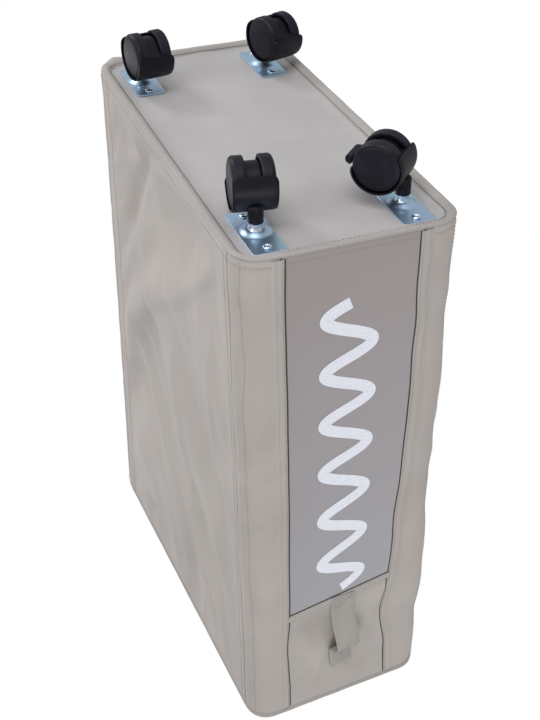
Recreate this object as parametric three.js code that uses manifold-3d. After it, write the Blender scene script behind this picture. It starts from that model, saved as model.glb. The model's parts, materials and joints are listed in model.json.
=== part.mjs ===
// A slim fabric laundry hamper on four twin-wheel swivel casters.
// Millimetres, +Z up. The origin is on the floor, under the middle of the hamper. The window faces -Y.
// An open-topped sewn bag hangs on two wire loops and four upright rods, and stands on a screwed-on board.
import * as THREE from "three";
import { mergeGeometries, mergeVertices } from "three/addons/utils/BufferGeometryUtils.js";
import Module from "manifold-3d";

const wasm = await Module();
wasm.setup();

// ---- driving dimensions ----
const WIDTH = 190; // outside the hems, along X
const DEPTH = 408; // outside the hems, along Y
const HEIGHT = 591.5; // floor to the top of the rim
const CORNER = 24; // outside radius of the upright corners
const CLOTH = 1.2; // doubled, coated polyester
const GAP = 0.3; // between pieces that touch
const WALL_INSET = 2.5; // the walls stand this far inside the hems

const PANEL_Z = 55.5; // underside of the bottom cover
const COLLAR_Z = 48.5; // the bottom hem stands proud of the bottom cover
const HEM_HEIGHT = 14;
const HEM_WIDTH = 10;
const WIRE_R = 2;

const BOARD = 3; // thickness of the stiffening board
const LINER = 1;
const LINER_INSET = 4; // keeps the liner clear of the rod sleeves

const WINDOW_HALF = 63; // half the width of the window and of the panel over it
const WINDOW_TOP = 434.5;

const ROD_R = 4;
const ROD_WALL = 1;
const ROD_Y = 170; // rods stand beside the corners, against the side walls
const SLEEVE_CLOTH = 0.8;

const STRAP_WIDTH = 25;
const STRAP_Z0 = 440.5; // lower sewn end of a carrying strap
const STRAP_Z1 = 539.5; // upper sewn end
const STRAP_SEWN = 16; // length of each sewn end
const STRAP_BOW = 25; // how far the loop stands off the wall
const STRAP_THICK = 2;

const CASTER_X = 62.5;
const CASTER_FRONT_Y = -156;
const CASTER_BACK_Y = 151;
const PLATE_WIDTH = 28; // along X
const PLATE_LENGTH = 66; // along Y
const PLATE_THICK = 1.5;
const PLATE_CORNER = 3;
const SCREW_Y = 25; // screws sit this far from the kingpin, along Y
const SCREW_R = 1.9;
const SCREW_HEAD_R = 3.9;
const SCREW_HEAD = 2;

const WHEEL_R = 20.5;
const WHEEL_SIDES = 20;
const WHEEL_WIDTH = 11.5;
const WHEEL_INNER = 6; // inner face of a wheel, from the caster's middle plane
const TRAIL = 18; // kingpin to axle
const AXLE_R = 2.5;
const RUN = 0.35; // running clearance between turning pieces
const HOOD_R = 22.8; // outside radius of the hood round the axle
const HOOD_THICK = 1.5;
const HOOD_HALF = 17.8;
const HOOD_FRONT = -36; // degrees above the axle, at the kingpin's side
const HOOD_REAR = 192;
const BRAKED_HOOD_REAR = 168; // cut short to make room for the pedal
const WEB_HALF = 5.5; // half the thickness of the web between the wheels
const STEM_R = 6.4; // the hood's socket round the kingpin
const STEM_TOP = 45.3;
const KINGPIN_R = 3.4;
const NECK_R = 5;
const BRAKE_PIVOT = [-10, 3]; // [towards the kingpin, up] from the axle
const BRAKE_PIN_R = 1.6;

const FABRIC = { color: 0xaba69f, roughness: 0.85, metalness: 0 };
const VINYL = { color: 0x968e8d, roughness: 0.35, metalness: 0 };
const STEEL = { color: 0xb4bcc2, roughness: 0.3, metalness: 1 };
const ZINC = { color: 0xa9c3d8, roughness: 0.28, metalness: 1 };
const NYLON = { color: 0x1b1b20, roughness: 0.5, metalness: 0 };
const CARD = { color: 0x6f6a64, roughness: 0.9, metalness: 0 };

const hamper = new THREE.Group();
const AXLE_Z = WHEEL_R * Math.cos(Math.PI / WHEEL_SIDES); // a wheel stands on one of its flats

// ---- helpers ----
function material(finish) {
  return new THREE.MeshStandardMaterial(finish);
}

function add(name, geometry, finish, parent = hamper) {
  const mesh = new THREE.Mesh(geometry, material(finish));
  mesh.name = name;
  parent.add(mesh);
  return mesh;
}

function solid(geometry) {
  const bare = geometry.clone();
  bare.deleteAttribute("normal");
  bare.deleteAttribute("uv");
  const merged = mergeVertices(bare, 1e-4);
  return new wasm.Manifold(
    new wasm.Mesh({
      numProp: 3,
      vertProperties: merged.attributes.position.array,
      triVerts: new Uint32Array(merged.index.array),
    }),
  );
}

function geometryOf(body) {
  const mesh = body.getMesh();
  const geometry = new THREE.BufferGeometry();
  geometry.setAttribute("position", new THREE.BufferAttribute(mesh.vertProperties, 3));
  geometry.setIndex(new THREE.BufferAttribute(mesh.triVerts, 1));
  geometry.computeVertexNormals();
  return geometry;
}

// A box between two corners.
function slab([x0, y0, z0], [x1, y1, z1]) {
  const box = new THREE.BoxGeometry(x1 - x0, y1 - y0, z1 - z0);
  return box.translate((x0 + x1) / 2, (y0 + y1) / 2, (z0 + z1) / 2);
}

// A cylinder along +Z from z0 to z1.
function post(radius, z0, z1, x = 0, y = 0, sides = 16) {
  const cylinder = new THREE.CylinderGeometry(radius, radius, z1 - z0, sides);
  return cylinder.rotateX(Math.PI / 2).translate(x, y, (z0 + z1) / 2);
}

// A flat shape in XY, raised from z0 to z1.
function raised(shape, z0, z1, curveSegments = 6) {
  const options = { depth: z1 - z0, bevelEnabled: false, curveSegments };
  return new THREE.ExtrudeGeometry(shape, options).translate(0, 0, z0);
}

function shapeOf(points) {
  return new THREE.Shape(points.map(([x, y]) => new THREE.Vector2(x, y)));
}

// Points round a circle's arc, in degrees, as [x, y].
function arc(cx, cy, radius, from, to, steps) {
  const points = [];
  for (let i = 0; i <= steps; i += 1) {
    const angle = THREE.MathUtils.degToRad(from + ((to - from) * i) / steps);
    points.push([cx + radius * Math.cos(angle), cy + radius * Math.sin(angle)]);
  }
  return points;
}

// The outline of a rounded rectangle about the origin, counter-clockwise.
function roundedRect(halfX, halfY, radius, steps = 4) {
  const x = halfX - radius;
  const y = halfY - radius;
  return [
    ...arc(x, y, radius, 0, 90, steps),
    ...arc(-x, y, radius, 90, 180, steps),
    ...arc(-x, -y, radius, 180, 270, steps),
    ...arc(x, -y, radius, 270, 360, steps),
  ];
}

// A ring that follows the hamper's outline. profile gives [inset from the hem's face, z], counter-clockwise
// seen with the outside on the left.
function ringAlongOutline(profile) {
  const steps = 4;
  const loops = profile.map(([inset, z]) => {
    const outline = roundedRect(WIDTH / 2 - inset, DEPTH / 2 - inset, CORNER - inset, steps);
    return outline.map(([x, y]) => [x, y, z]);
  });
  const count = loops[0].length;
  const vertices = loops.flat(2);
  const triangles = [];
  for (let i = 0; i < loops.length; i += 1) {
    const a = i * count;
    const b = ((i + 1) % loops.length) * count;
    for (let j = 0; j < count; j += 1) {
      const k = (j + 1) % count;
      triangles.push(a + j, b + j, a + k, b + j, b + k, a + k);
    }
  }
  const geometry = new THREE.BufferGeometry();
  geometry.setAttribute("position", new THREE.BufferAttribute(new Float32Array(vertices), 3));
  geometry.setIndex(triangles);
  return geometry;
}

// ---- hems and wire loops ----
// A hem is a folded band, U-shaped in section, with a wire loop in its fold.
function hemProfile(closedZ, openZ) {
  const up = Math.sign(openZ - closedZ);
  const soft = 2.2; // rounding of the fold
  return [
    [0, openZ],
    [0, closedZ + up * soft],
    [soft * 0.3, closedZ + up * soft * 0.3],
    [soft, closedZ],
    [HEM_WIDTH - soft, closedZ],
    [HEM_WIDTH - soft * 0.3, closedZ + up * soft * 0.3],
    [HEM_WIDTH, closedZ + up * soft],
    [HEM_WIDTH, openZ],
    [HEM_WIDTH - CLOTH, openZ],
    [HEM_WIDTH - CLOTH, closedZ + up * CLOTH],
    [CLOTH, closedZ + up * CLOTH],
    [CLOTH, openZ],
  ];
}

function wireProfile(z) {
  return arc(HEM_WIDTH / 2, z, WIRE_R, 0, 300, 5);
}

const RIM_WIRE_Z = HEIGHT - CLOTH - GAP - WIRE_R;
const BASE_WIRE_Z = COLLAR_Z + CLOTH + GAP + WIRE_R;
add("bottom_hem", ringAlongOutline(hemProfile(COLLAR_Z, COLLAR_Z + HEM_HEIGHT)), FABRIC);
add("top_hem", ringAlongOutline(hemProfile(HEIGHT, HEIGHT - HEM_HEIGHT).reverse()), FABRIC);
add("bottom_wire_loop", ringAlongOutline(wireProfile(BASE_WIRE_Z)), STEEL);
add("rim_wire_loop", ringAlongOutline(wireProfile(RIM_WIRE_Z)), STEEL);

// ---- walls ----
const WALL_X = WIDTH / 2 - WALL_INSET; // outside of a side wall
const WALL_Y = DEPTH / 2 - WALL_INSET; // outside of the front and back walls
const WALL_R = CORNER - WALL_INSET;
const WALL_Z0 = BASE_WIRE_Z + WIRE_R + 0.5;
const WALL_Z1 = RIM_WIRE_Z - WIRE_R - 0.5;
const SEAM_Y = WALL_Y - WALL_R; // where a corner meets the flat of the side wall

for (const [side, sign] of [["left", -1], ["right", 1]]) {
  const outside = sign * WALL_X;
  const inside = sign * (WALL_X - CLOTH);
  const low = [Math.min(outside, inside), -SEAM_Y + GAP, WALL_Z0];
  const high = [Math.max(outside, inside), SEAM_Y - GAP, WALL_Z1];
  add(`side_panel_${side}`, slab(low, high), FABRIC);
}

// A strip that runs from x on the front or back wall round the corner at +X to the side wall.
function cornerPath(fromX, inset) {
  const centre = [WALL_X - WALL_R, WALL_Y - WALL_R];
  const bend = arc(centre[0], centre[1], WALL_R - inset, 90, 0, 5);
  return [[fromX, WALL_Y - inset], ...bend];
}

function mirrored(points, signX, signY) {
  return points.map(([x, y]) => [x * signX, y * signY]);
}

for (const [side, sign] of [["left", -1], ["right", 1]]) {
  const outer = cornerPath(WINDOW_HALF + GAP, 0);
  const inner = cornerPath(WINDOW_HALF + GAP, CLOTH).reverse();
  const outline = mirrored([...outer, ...inner], sign, -1);
  add(`front_strip_${side}`, raised(shapeOf(outline), WALL_Z0, WALL_Z1), FABRIC);
}

const backOuter = cornerPath(0, 0).slice(1);
const backInner = cornerPath(0, CLOTH).slice(1);
const backOutline = [
  ...mirrored(backOuter, 1, 1).reverse(),
  ...mirrored(backOuter, -1, 1),
  ...mirrored(backInner, -1, 1).reverse(),
  ...mirrored(backInner, 1, 1),
];
add("back_panel", raised(shapeOf(backOutline), WALL_Z0, WALL_Z1), FABRIC);

const frontLow = -WALL_Y;
const frontHigh = -WALL_Y + CLOTH;
const windowBox = slab([-WINDOW_HALF, frontLow, WALL_Z0], [WINDOW_HALF, frontHigh, WINDOW_TOP]);
add("window_panel", windowBox, VINYL);
add(
  "front_upper_panel",
  slab([-WINDOW_HALF, frontLow, WINDOW_TOP + GAP], [WINDOW_HALF, frontHigh, WALL_Z1]),
  FABRIC,
);

// ---- base: bottom cover, board and liner, drilled for the caster screws ----
const baseHalfX = WIDTH / 2 - HEM_WIDTH - GAP;
const baseHalfY = DEPTH / 2 - HEM_WIDTH - GAP;
const baseShape = shapeOf(roundedRect(baseHalfX, baseHalfY, CORNER - HEM_WIDTH));
const casterPlaces = {
  front_left: { x: -CASTER_X, y: CASTER_FRONT_Y, turn: 44, brake: true },
  front_right: { x: CASTER_X, y: CASTER_FRONT_Y, turn: -11, brake: true },
  back_left: { x: -CASTER_X, y: CASTER_BACK_Y, turn: 197, brake: false },
  back_right: { x: CASTER_X, y: CASTER_BACK_Y, turn: 187, brake: false },
};
const screwPlaces = [];
for (const [name, place] of Object.entries(casterPlaces)) {
  screwPlaces.push({ name: `screw_${name}_front`, x: place.x, y: place.y - SCREW_Y });
  screwPlaces.push({ name: `screw_${name}_rear`, x: place.x, y: place.y + SCREW_Y });
}

function drilled(geometry, z0, z1) {
  let body = solid(geometry);
  for (const { x, y } of screwPlaces) {
    body = body.subtract(solid(post(SCREW_R + GAP, z0 - 1, z1 + 1, x, y, 8)));
  }
  return geometryOf(body);
}

const boardZ = PANEL_Z + CLOTH + GAP;
const linerZ = boardZ + BOARD + GAP;
const screwTop = boardZ + BOARD - 0.4;
add("bottom_cover", drilled(raised(baseShape, PANEL_Z, PANEL_Z + CLOTH), PANEL_Z, boardZ), FABRIC);
add("base_board", drilled(raised(baseShape, boardZ, boardZ + BOARD), boardZ, linerZ), CARD);
const linerShape = shapeOf(
  roundedRect(baseHalfX - LINER_INSET, baseHalfY - LINER_INSET, CORNER - HEM_WIDTH),
);
add("base_liner", raised(linerShape, linerZ, linerZ + LINER), FABRIC);

// ---- upright rods in their sleeves ----
const rodX = WALL_X - CLOTH - GAP - SLEEVE_CLOTH - ROD_R;
const rodZ0 = COLLAR_Z + HEM_HEIGHT + 0.6;
const rodZ1 = HEIGHT - HEM_HEIGHT - 0.6;

function rod() {
  const tube = solid(post(ROD_R, rodZ0, rodZ1, 0, 0, 12));
  return geometryOf(tube.subtract(solid(post(ROD_R - ROD_WALL, rodZ0 - 1, rodZ1 + 1, 0, 0, 12))));
}

// A sleeve wraps the inner side of its rod, and its two flanges are sewn to the wall.
function sleeve(sign) {
  const inner = ROD_R + GAP;
  const outer = inner + SLEEVE_CLOTH;
  const wallSide = ROD_R + SLEEVE_CLOTH; // from the rod's axis to the wall's inner face
  const flange = 6;
  const outline = [
    [wallSide, outer + flange],
    [wallSide - SLEEVE_CLOTH, outer + flange],
    [wallSide - SLEEVE_CLOTH, outer],
    ...arc(0, 0, outer, 90, 270, 7),
    [wallSide - SLEEVE_CLOTH, -outer],
    [wallSide - SLEEVE_CLOTH, -outer - flange],
    [wallSide, -outer - flange],
    [wallSide, -inner],
    ...arc(0, 0, inner, 270, 90, 7),
    [wallSide, inner],
  ];
  return raised(shapeOf(mirrored(outline, sign, 1)), rodZ0, rodZ1);
}

for (const [end, endSign] of [["front", -1], ["back", 1]]) {
  for (const [side, sign] of [["left", -1], ["right", 1]]) {
    const x = sign * rodX;
    const y = endSign * ROD_Y;
    add(`upright_rod_${end}_${side}`, rod(), STEEL).position.set(x, y, 0);
    add(`rod_sleeve_${end}_${side}`, sleeve(sign), FABRIC).position.set(x, y, 0);
  }
}

// ---- carrying straps ----
// The strap's side view as [distance off the wall, z], swept across its width.
function strapOutline() {
  const face = GAP;
  const loop0 = STRAP_Z0 + STRAP_SEWN;
  const loop1 = STRAP_Z1 - STRAP_SEWN;
  const middle = (loop0 + loop1) / 2;
  const half = (loop1 - loop0) / 2;
  const steps = 10;
  const bow = (offset, height) => {
    const points = [];
    for (let i = 0; i <= steps; i += 1) {
      const t = -1 + (2 * i) / steps;
      points.push([face + offset + height * (0.5 + 0.5 * Math.cos(Math.PI * t)), middle + half * t]);
    }
    return points;
  };
  return [
    [face, STRAP_Z0],
    ...bow(0, STRAP_BOW - STRAP_THICK).slice(1, -1),
    [face, STRAP_Z1],
    [face + STRAP_THICK, STRAP_Z1],
    ...bow(STRAP_THICK, STRAP_BOW - STRAP_THICK).slice(1, -1).reverse(),
    [face + STRAP_THICK, STRAP_Z0],
  ];
}

for (const [end, sign] of [["front", -1], ["back", 1]]) {
  const outline = shapeOf(strapOutline());
  const options = { depth: STRAP_WIDTH, bevelEnabled: false };
  const band = new THREE.ExtrudeGeometry(outline, options).translate(0, 0, -STRAP_WIDTH / 2);
  // the outline's x becomes the way out of the wall, and its y becomes Z
  const basis = new THREE.Matrix4().makeBasis(
    new THREE.Vector3(0, sign, 0),
    new THREE.Vector3(0, 0, 1),
    new THREE.Vector3(sign, 0, 0),
  );
  band.applyMatrix4(basis);
  add(`carry_strap_${end}`, band, FABRIC).position.set(0, sign * WALL_Y, 0);
}

// ---- casters ----
const plateZ = PANEL_Z - GAP - PLATE_THICK; // underside of a plate
const BOSS_R = 11;
const BOSS_DROP = 3.2; // how far the pressed boss stands down from the plate
const FLANGE_R = NECK_R + 1.5; // kingpin's collar inside the boss

function plate() {
  const z0 = plateZ;
  const z1 = plateZ + PLATE_THICK;
  const outline = shapeOf(roundedRect(PLATE_WIDTH / 2, PLATE_LENGTH / 2, PLATE_CORNER, 2));
  let body = solid(raised(outline, z0, z1));
  const boss = [
    [0, z0 - BOSS_DROP],
    [BOSS_R - 4, z0 - BOSS_DROP],
    [BOSS_R - 2, z0 - BOSS_DROP * 0.6],
    [BOSS_R, z0 + 0.1],
    [BOSS_R - 1, z1 - 0.1],
    [0, z1 - 0.1],
  ];
  body = body.add(solid(lathe(boss, 16)));
  const hollow = [
    [0, z0 - BOSS_DROP + PLATE_THICK],
    [BOSS_R - 4.6, z0 - BOSS_DROP + PLATE_THICK],
    [BOSS_R - 2.6, z0 + 0.2],
    [BOSS_R - 2.2, z1 + 1],
    [0, z1 + 1],
  ];
  body = body.subtract(solid(lathe(hollow, 16)));
  body = body.subtract(solid(post(NECK_R + GAP, z0 - BOSS_DROP - 1, z1 + 1, 0, 0, 16)));
  for (const y of [-SCREW_Y, SCREW_Y]) {
    body = body.subtract(solid(post(SCREW_R + GAP, z0 - 1, z1 + 1, 0, y, 10)));
  }
  return geometryOf(body);
}

// A body turned round Z. The profile is [radius, z], from the axis to the axis, with z rising.
function lathe(profile, sides) {
  const points = profile.map(([r, z]) => new THREE.Vector2(r, z));
  return new THREE.LatheGeometry(points, sides).rotateX(Math.PI / 2);
}

// The kingpin is riveted into the plate and turns in the hood's socket.
function kingpin() {
  const bossZ = plateZ - BOSS_DROP;
  return lathe(
    [
      [0, STEM_TOP - 9],
      [KINGPIN_R, STEM_TOP - 9],
      [KINGPIN_R, STEM_TOP + GAP],
      [NECK_R, STEM_TOP + GAP],
      [NECK_R, bossZ + PLATE_THICK + GAP],
      [FLANGE_R - 0.4, bossZ + PLATE_THICK + GAP],
      [FLANGE_R - 0.4, plateZ + PLATE_THICK - 0.4],
      [0, plateZ + PLATE_THICK - 0.4],
    ],
    14,
  );
}

function screw() {
  const headZ = plateZ - GAP - SCREW_HEAD;
  const slotHalf = 0.45;
  const body = solid(
    lathe(
      [
        [0, headZ],
        [SCREW_HEAD_R * 0.9, headZ + 0.8],
        [SCREW_HEAD_R, plateZ - GAP],
        [SCREW_R, plateZ - GAP],
        [SCREW_R, screwTop - 1.5],
        [0, screwTop],
      ],
      10,
    ),
  );
  const reach = SCREW_HEAD_R * 0.5;
  const slotA = slab([-reach, -slotHalf, headZ - 1], [reach, slotHalf, headZ + 0.9]);
  const slotB = slab([-slotHalf, -reach, headZ - 1], [slotHalf, reach, headZ + 0.9]);
  return geometryOf(body.subtract(solid(slotA)).subtract(solid(slotB)));
}

// Everything that turns on the kingpin is drawn about the axle: u runs towards the kingpin, v runs up,
// and the third way runs along the axle. swivelBasis stands it up with u along -Y at no turn.
function alongAxle(outline, half, curveSegments = 6) {
  const options = { depth: 2 * half, bevelEnabled: false, curveSegments };
  return new THREE.ExtrudeGeometry(shapeOf(outline), options).translate(0, 0, -half);
}

const swivelBasis = new THREE.Matrix4().makeBasis(
  new THREE.Vector3(0, -1, 0),
  new THREE.Vector3(0, 0, 1),
  new THREE.Vector3(-1, 0, 0),
);

function crossPin(radius, u, v, half, sides = 12) {
  const cylinder = new THREE.CylinderGeometry(radius, radius, 2 * half, sides);
  return cylinder.rotateX(Math.PI / 2).translate(u, v, 0);
}

function hood(brake) {
  const rear = brake ? BRAKED_HOOD_REAR : HOOD_REAR;
  const shell = alongAxle(
    [
      ...arc(0, 0, HOOD_R, HOOD_FRONT, rear, 16),
      ...arc(0, 0, HOOD_R - HOOD_THICK, rear, HOOD_FRONT, 16),
    ],
    HOOD_HALF,
  );
  const web = alongAxle(
    [...arc(0, 0, HOOD_R - 0.8, HOOD_FRONT + 6, rear - 4, 14), ...arc(0, 0, 16, 210, 320, 6)],
    WEB_HALF,
  );
  const socketTop = STEM_TOP - AXLE_Z;
  const socket = post(STEM_R, 11, socketTop, 0, 0, 14)
    .rotateX(-Math.PI / 2)
    .translate(TRAIL, 0, 0);
  let body = solid(shell).add(solid(web)).add(solid(socket));
  // the kingpin's bore is blind: it opens upwards only
  const bore = post(KINGPIN_R + RUN, socketTop - 9 - RUN - 0.3, socketTop + 1, 0, 0, 14);
  body = body.subtract(solid(bore.rotateX(-Math.PI / 2).translate(TRAIL, 0, 0)));
  // the wheels' own space is kept clear of the socket
  const rim = WHEEL_R + 0.6;
  for (const side of [-1, 1]) {
    const middle = side * (WHEEL_INNER - 0.4 + WHEEL_WIDTH);
    const space = crossPin(rim, 0, 0, WHEEL_WIDTH, 24).translate(0, 0, middle);
    body = body.subtract(solid(space));
  }
  body = body.subtract(solid(crossPin(AXLE_R + GAP, 0, 0, WEB_HALF + 1, 12)));
  if (brake) {
    const [pu, pv] = BRAKE_PIVOT;
    const slot = alongAxle(
      [
        [-30, -16],
        [-30, 6.3],
        [-22.5, 7.6],
        [-18, 11],
        [-6.5, 11],
        [-6.5, -5.5],
        [-9, -16],
      ],
      WEB_HALF - 2,
    );
    body = body.subtract(solid(slot));
    body = body.subtract(solid(crossPin(BRAKE_PIN_R + RUN, pu, pv, WEB_HALF + 1)));
  }
  return geometryOf(body).applyMatrix4(swivelBasis);
}

// The pedal rocks on a pin moulded across its arm, and stands out behind the wheels.
function brakePedal() {
  const [pu, pv] = BRAKE_PIVOT;
  const arm = alongAxle(
    [
      [pu + 2.8, pv + 1],
      [pu + 2.2, pv + 2.6],
      [pu, pv + 3.2],
      [-23, 2.4],
      [-23, -3],
      [pu, pv - 3.4],
      [pu + 2.4, pv - 2],
    ],
    WEB_HALF - 2 - RUN,
  );
  const pad = alongAxle(
    [
      [-22.4, 2.2],
      [-25, 2.6],
      [-27.6, 1.8],
      [-28.2, 0.2],
      [-27.4, -3.2],
      [-25.6, -4.2],
      [-22.4, -3.6],
    ],
    12,
  );
  const pin = crossPin(BRAKE_PIN_R, pu, pv, WEB_HALF - 0.1);
  const body = solid(arm).add(solid(pad)).add(solid(pin));
  return geometryOf(body).applyMatrix4(swivelBasis);
}

function axle() {
  const half = WHEEL_INNER + 7.5;
  return crossPin(AXLE_R, 0, 0, half, 16).applyMatrix4(swivelBasis);
}

// A wheel turned about its axle. The profile is [radius, distance from the caster's middle plane].
function wheel(side) {
  const inner = WHEEL_INNER;
  const outer = WHEEL_INNER + WHEEL_WIDTH;
  const bore = AXLE_R + RUN;
  const profile = [
    [0, inner + 8],
    [bore, inner + 8],
    [bore, inner],
    [WHEEL_R, inner],
    [WHEEL_R, outer - 3],
    [WHEEL_R - 1.5, outer - 1],
    [17.4, outer - 0.5],
    [0, outer],
  ];
  const turned = lathe(profile, WHEEL_SIDES).rotateZ(Math.PI / WHEEL_SIDES);
  if (side < 0) turned.rotateY(Math.PI);
  return turned.applyMatrix4(swivelBasis);
}

for (const [name, place] of Object.entries(casterPlaces)) {
  const fixed = new THREE.Group();
  fixed.position.set(place.x, place.y, 0);
  hamper.add(fixed);
  add(`caster_plate_${name}`, plate(), ZINC, fixed);
  add(`kingpin_${name}`, kingpin(), ZINC, fixed);

  // the swivel turns about the kingpin: the wheels trail towards +Y, turned clockwise from above
  const swivel = new THREE.Group();
  swivel.rotation.z = THREE.MathUtils.degToRad(-place.turn);
  fixed.add(swivel);
  const axleFrame = new THREE.Group();
  axleFrame.position.set(0, TRAIL, AXLE_Z);
  swivel.add(axleFrame);
  add(`hood_${name}`, hood(place.brake), NYLON, axleFrame);
  add(`axle_${name}`, axle(), STEEL, axleFrame);
  add(`wheel_${name}_a`, wheel(1), NYLON, axleFrame);
  add(`wheel_${name}_b`, wheel(-1), NYLON, axleFrame);
  if (place.brake) add(`brake_pedal_${name}`, brakePedal(), NYLON, axleFrame);
}

for (const { name, x, y } of screwPlaces) {
  add(name, screw(), ZINC).position.set(x, y, 0);
}

export default hamper;
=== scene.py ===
"""The looks of a slim fabric hamper on casters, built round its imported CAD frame.

Blender 4.5, metres, +Z up. The hamper stands on its wheels, with its window facing -Y. The camera looks
up at it from below and is rolled half a turn, so that the picture shows the hamper upside down.
"""

import json
import math

import bmesh
import bpy
import numpy as np
from mathutils import Matrix, Vector, noise


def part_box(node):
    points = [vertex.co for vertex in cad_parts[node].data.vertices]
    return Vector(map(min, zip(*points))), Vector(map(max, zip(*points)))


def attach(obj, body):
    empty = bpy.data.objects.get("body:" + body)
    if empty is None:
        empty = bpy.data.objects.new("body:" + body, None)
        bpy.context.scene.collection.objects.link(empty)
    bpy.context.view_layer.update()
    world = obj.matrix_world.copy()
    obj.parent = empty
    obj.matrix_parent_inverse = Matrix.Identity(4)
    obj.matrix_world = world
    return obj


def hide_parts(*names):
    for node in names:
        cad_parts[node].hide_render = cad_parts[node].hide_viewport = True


MM = 0.001
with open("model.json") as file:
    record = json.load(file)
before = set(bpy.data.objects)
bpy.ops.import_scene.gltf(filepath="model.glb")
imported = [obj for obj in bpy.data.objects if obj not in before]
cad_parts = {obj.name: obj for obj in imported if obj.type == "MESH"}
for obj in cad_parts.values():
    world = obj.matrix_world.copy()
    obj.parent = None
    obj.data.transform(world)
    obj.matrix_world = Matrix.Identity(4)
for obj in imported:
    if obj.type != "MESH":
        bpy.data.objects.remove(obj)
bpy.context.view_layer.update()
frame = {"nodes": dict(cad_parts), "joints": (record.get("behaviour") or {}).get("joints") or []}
joints = {joint["name"]: joint for joint in frame["joints"]}
CASTERS = ("front_left", "front_right", "back_left", "back_right")
BRAKED = ("front_left", "front_right")

# ---- sizes, read from the frame where it has them ----
hem_low, hem_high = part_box("top_hem")
HALF_X = hem_high.x
HALF_Y = hem_high.y
RIM = hem_high.z
HEM_TALL = hem_high.z - hem_low.z
HEM_WIDE = 10 * MM
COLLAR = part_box("bottom_hem")[0].z
CORNER = 24 * MM

wall_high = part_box("side_panel_right")[1]
window_low, window_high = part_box("window_panel")
SEWN_GAP = 0.3 * MM  # between one CAD wall and the next
WALL_X = wall_high.x
WALL_Y = -window_low.y
WALL_R = WALL_Y - wall_high.y - SEWN_GAP
WALL_TOP = wall_high.z
WINDOW_HALF = window_high.x
WINDOW_TOP = window_high.z
CLOTH = 1.1 * MM  # thickness of the walls' cloth
HEM_CLOTH_THICK = 0.9 * MM
FLUSH = 2.7 * MM  # the cloth lies this far outside the CAD wall, level with the hems
HEM_LEG = 8 * MM  # height of a hem's outer leg
TWIST = math.radians(-3.0)  # how far the slack bag's rim has turned over its base
SLIDE = 1.5 * MM  # and slid towards +X
TWIST_FROM = 75 * MM  # the twist and the slide start at this height
WALL_FOOT = COLLAR + 2.2 * MM  # the walls' cloth comes down over the collar hem, nearly to its fold
NEAR = 1e-6  # places nearer together than this, in metres, count as one

# distances round the wall from the middle of the front, towards +X
S_STRIP = WINDOW_HALF
S_SIDE = WALL_X - WALL_R + math.pi * WALL_R / 2
S_BACK = S_SIDE + 2 * (WALL_Y - WALL_R)
S_END = S_BACK + math.pi * WALL_R / 2 + WALL_X - WALL_R
ROD_IN = 10 * MM  # rods stand this far inside the ends of the side panels
S_ROD_FRONT = S_SIDE + ROD_IN
S_ROD_BACK = S_BACK - ROD_IN
SIDE_DEEP = S_BACK - S_SIDE
SIDE_TALL = RIM - COLLAR


# ---- mesh helpers ----
def smooth(x):
    x = np.clip(x, 0, 1)
    return x * x * (3 - 2 * x)


def bump(x, centre, width):
    """A smooth hill of height 1 at centre that falls to 0 about width away."""
    return np.exp(-(((np.asarray(x) - centre) / width) ** 2) * 2)


def fuzz(x, y, seed=0.0):
    """Smooth noise from -1 to 1 at each pair of x and y."""
    x, y = np.broadcast_arrays(x, y)
    flat = [noise.noise(Vector((a, b, seed))) for a, b in zip(x.ravel(), y.ravel())]
    return np.array(flat).reshape(x.shape)


def run_lengths(points):
    """The distance of each point from the first one, measured along the line through them."""
    return np.concatenate([[0], np.cumsum(np.linalg.norm(np.diff(points, axis=0), axis=1))])


def rounded_grid(half_x, half_y, radius, ys, columns, least=0.0):
    """x and y of a grid that fills a rounded rectangle, with a row at each of ys."""
    over = np.maximum(np.abs(ys) - (half_y - radius), 0)
    width = half_x - radius + np.sqrt(np.maximum(radius**2 - over**2, least**2))
    x = width[:, None] * np.linspace(-1, 1, columns)
    return x, np.repeat(ys[:, None], columns, axis=1)


def add_mesh(name, vertices, faces, uvs=None):
    mesh = bpy.data.meshes.new(name)
    mesh.from_pydata([tuple(v) for v in vertices], [], faces)
    if uvs is not None:
        layer = mesh.uv_layers.new(name="cut")
        layer.data.foreach_set("uv", np.asarray(uvs, np.float32).ravel())
    mesh.shade_smooth()
    return mesh


def add_object(name, mesh):
    obj = bpy.data.objects.new(name, mesh)
    bpy.context.scene.collection.objects.link(obj)
    return obj


def grid_mesh(name, points, u, v, wrap=False):
    """A sheet of quads through points[row, column]. u and v are distances along it, for its weave."""
    rows, columns = points.shape[:2]
    faces = []
    uvs = []
    for i in range(rows - 1):
        for j in range(columns if wrap else columns - 1):
            k = (j + 1) % columns
            low, high = i * columns, (i + 1) * columns
            faces.append((low + j, low + k, high + k, high + j))
            uvs += [(u[j], v[i]), (u[j + 1], v[i]), (u[j + 1], v[i + 1]), (u[j], v[i + 1])]
    return add_mesh(name, points.reshape(-1, 3), faces, uvs)


def subdivided(obj):
    fine = obj.modifiers.new("smooth", "SUBSURF")
    fine.levels = 1
    fine.render_levels = 1
    return fine


def sheet_object(name, points, u, v, wrap=False, thick=CLOTH):
    """A piece of cloth: the outer face is at points, and its thickness lies behind it."""
    obj = add_object(name, grid_mesh(name, points, u, v, wrap))
    solid = obj.modifiers.new("thickness", "SOLIDIFY")
    solid.thickness = thick
    solid.offset = -1
    subdivided(obj).boundary_smooth = "PRESERVE_CORNERS"
    return obj


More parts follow.
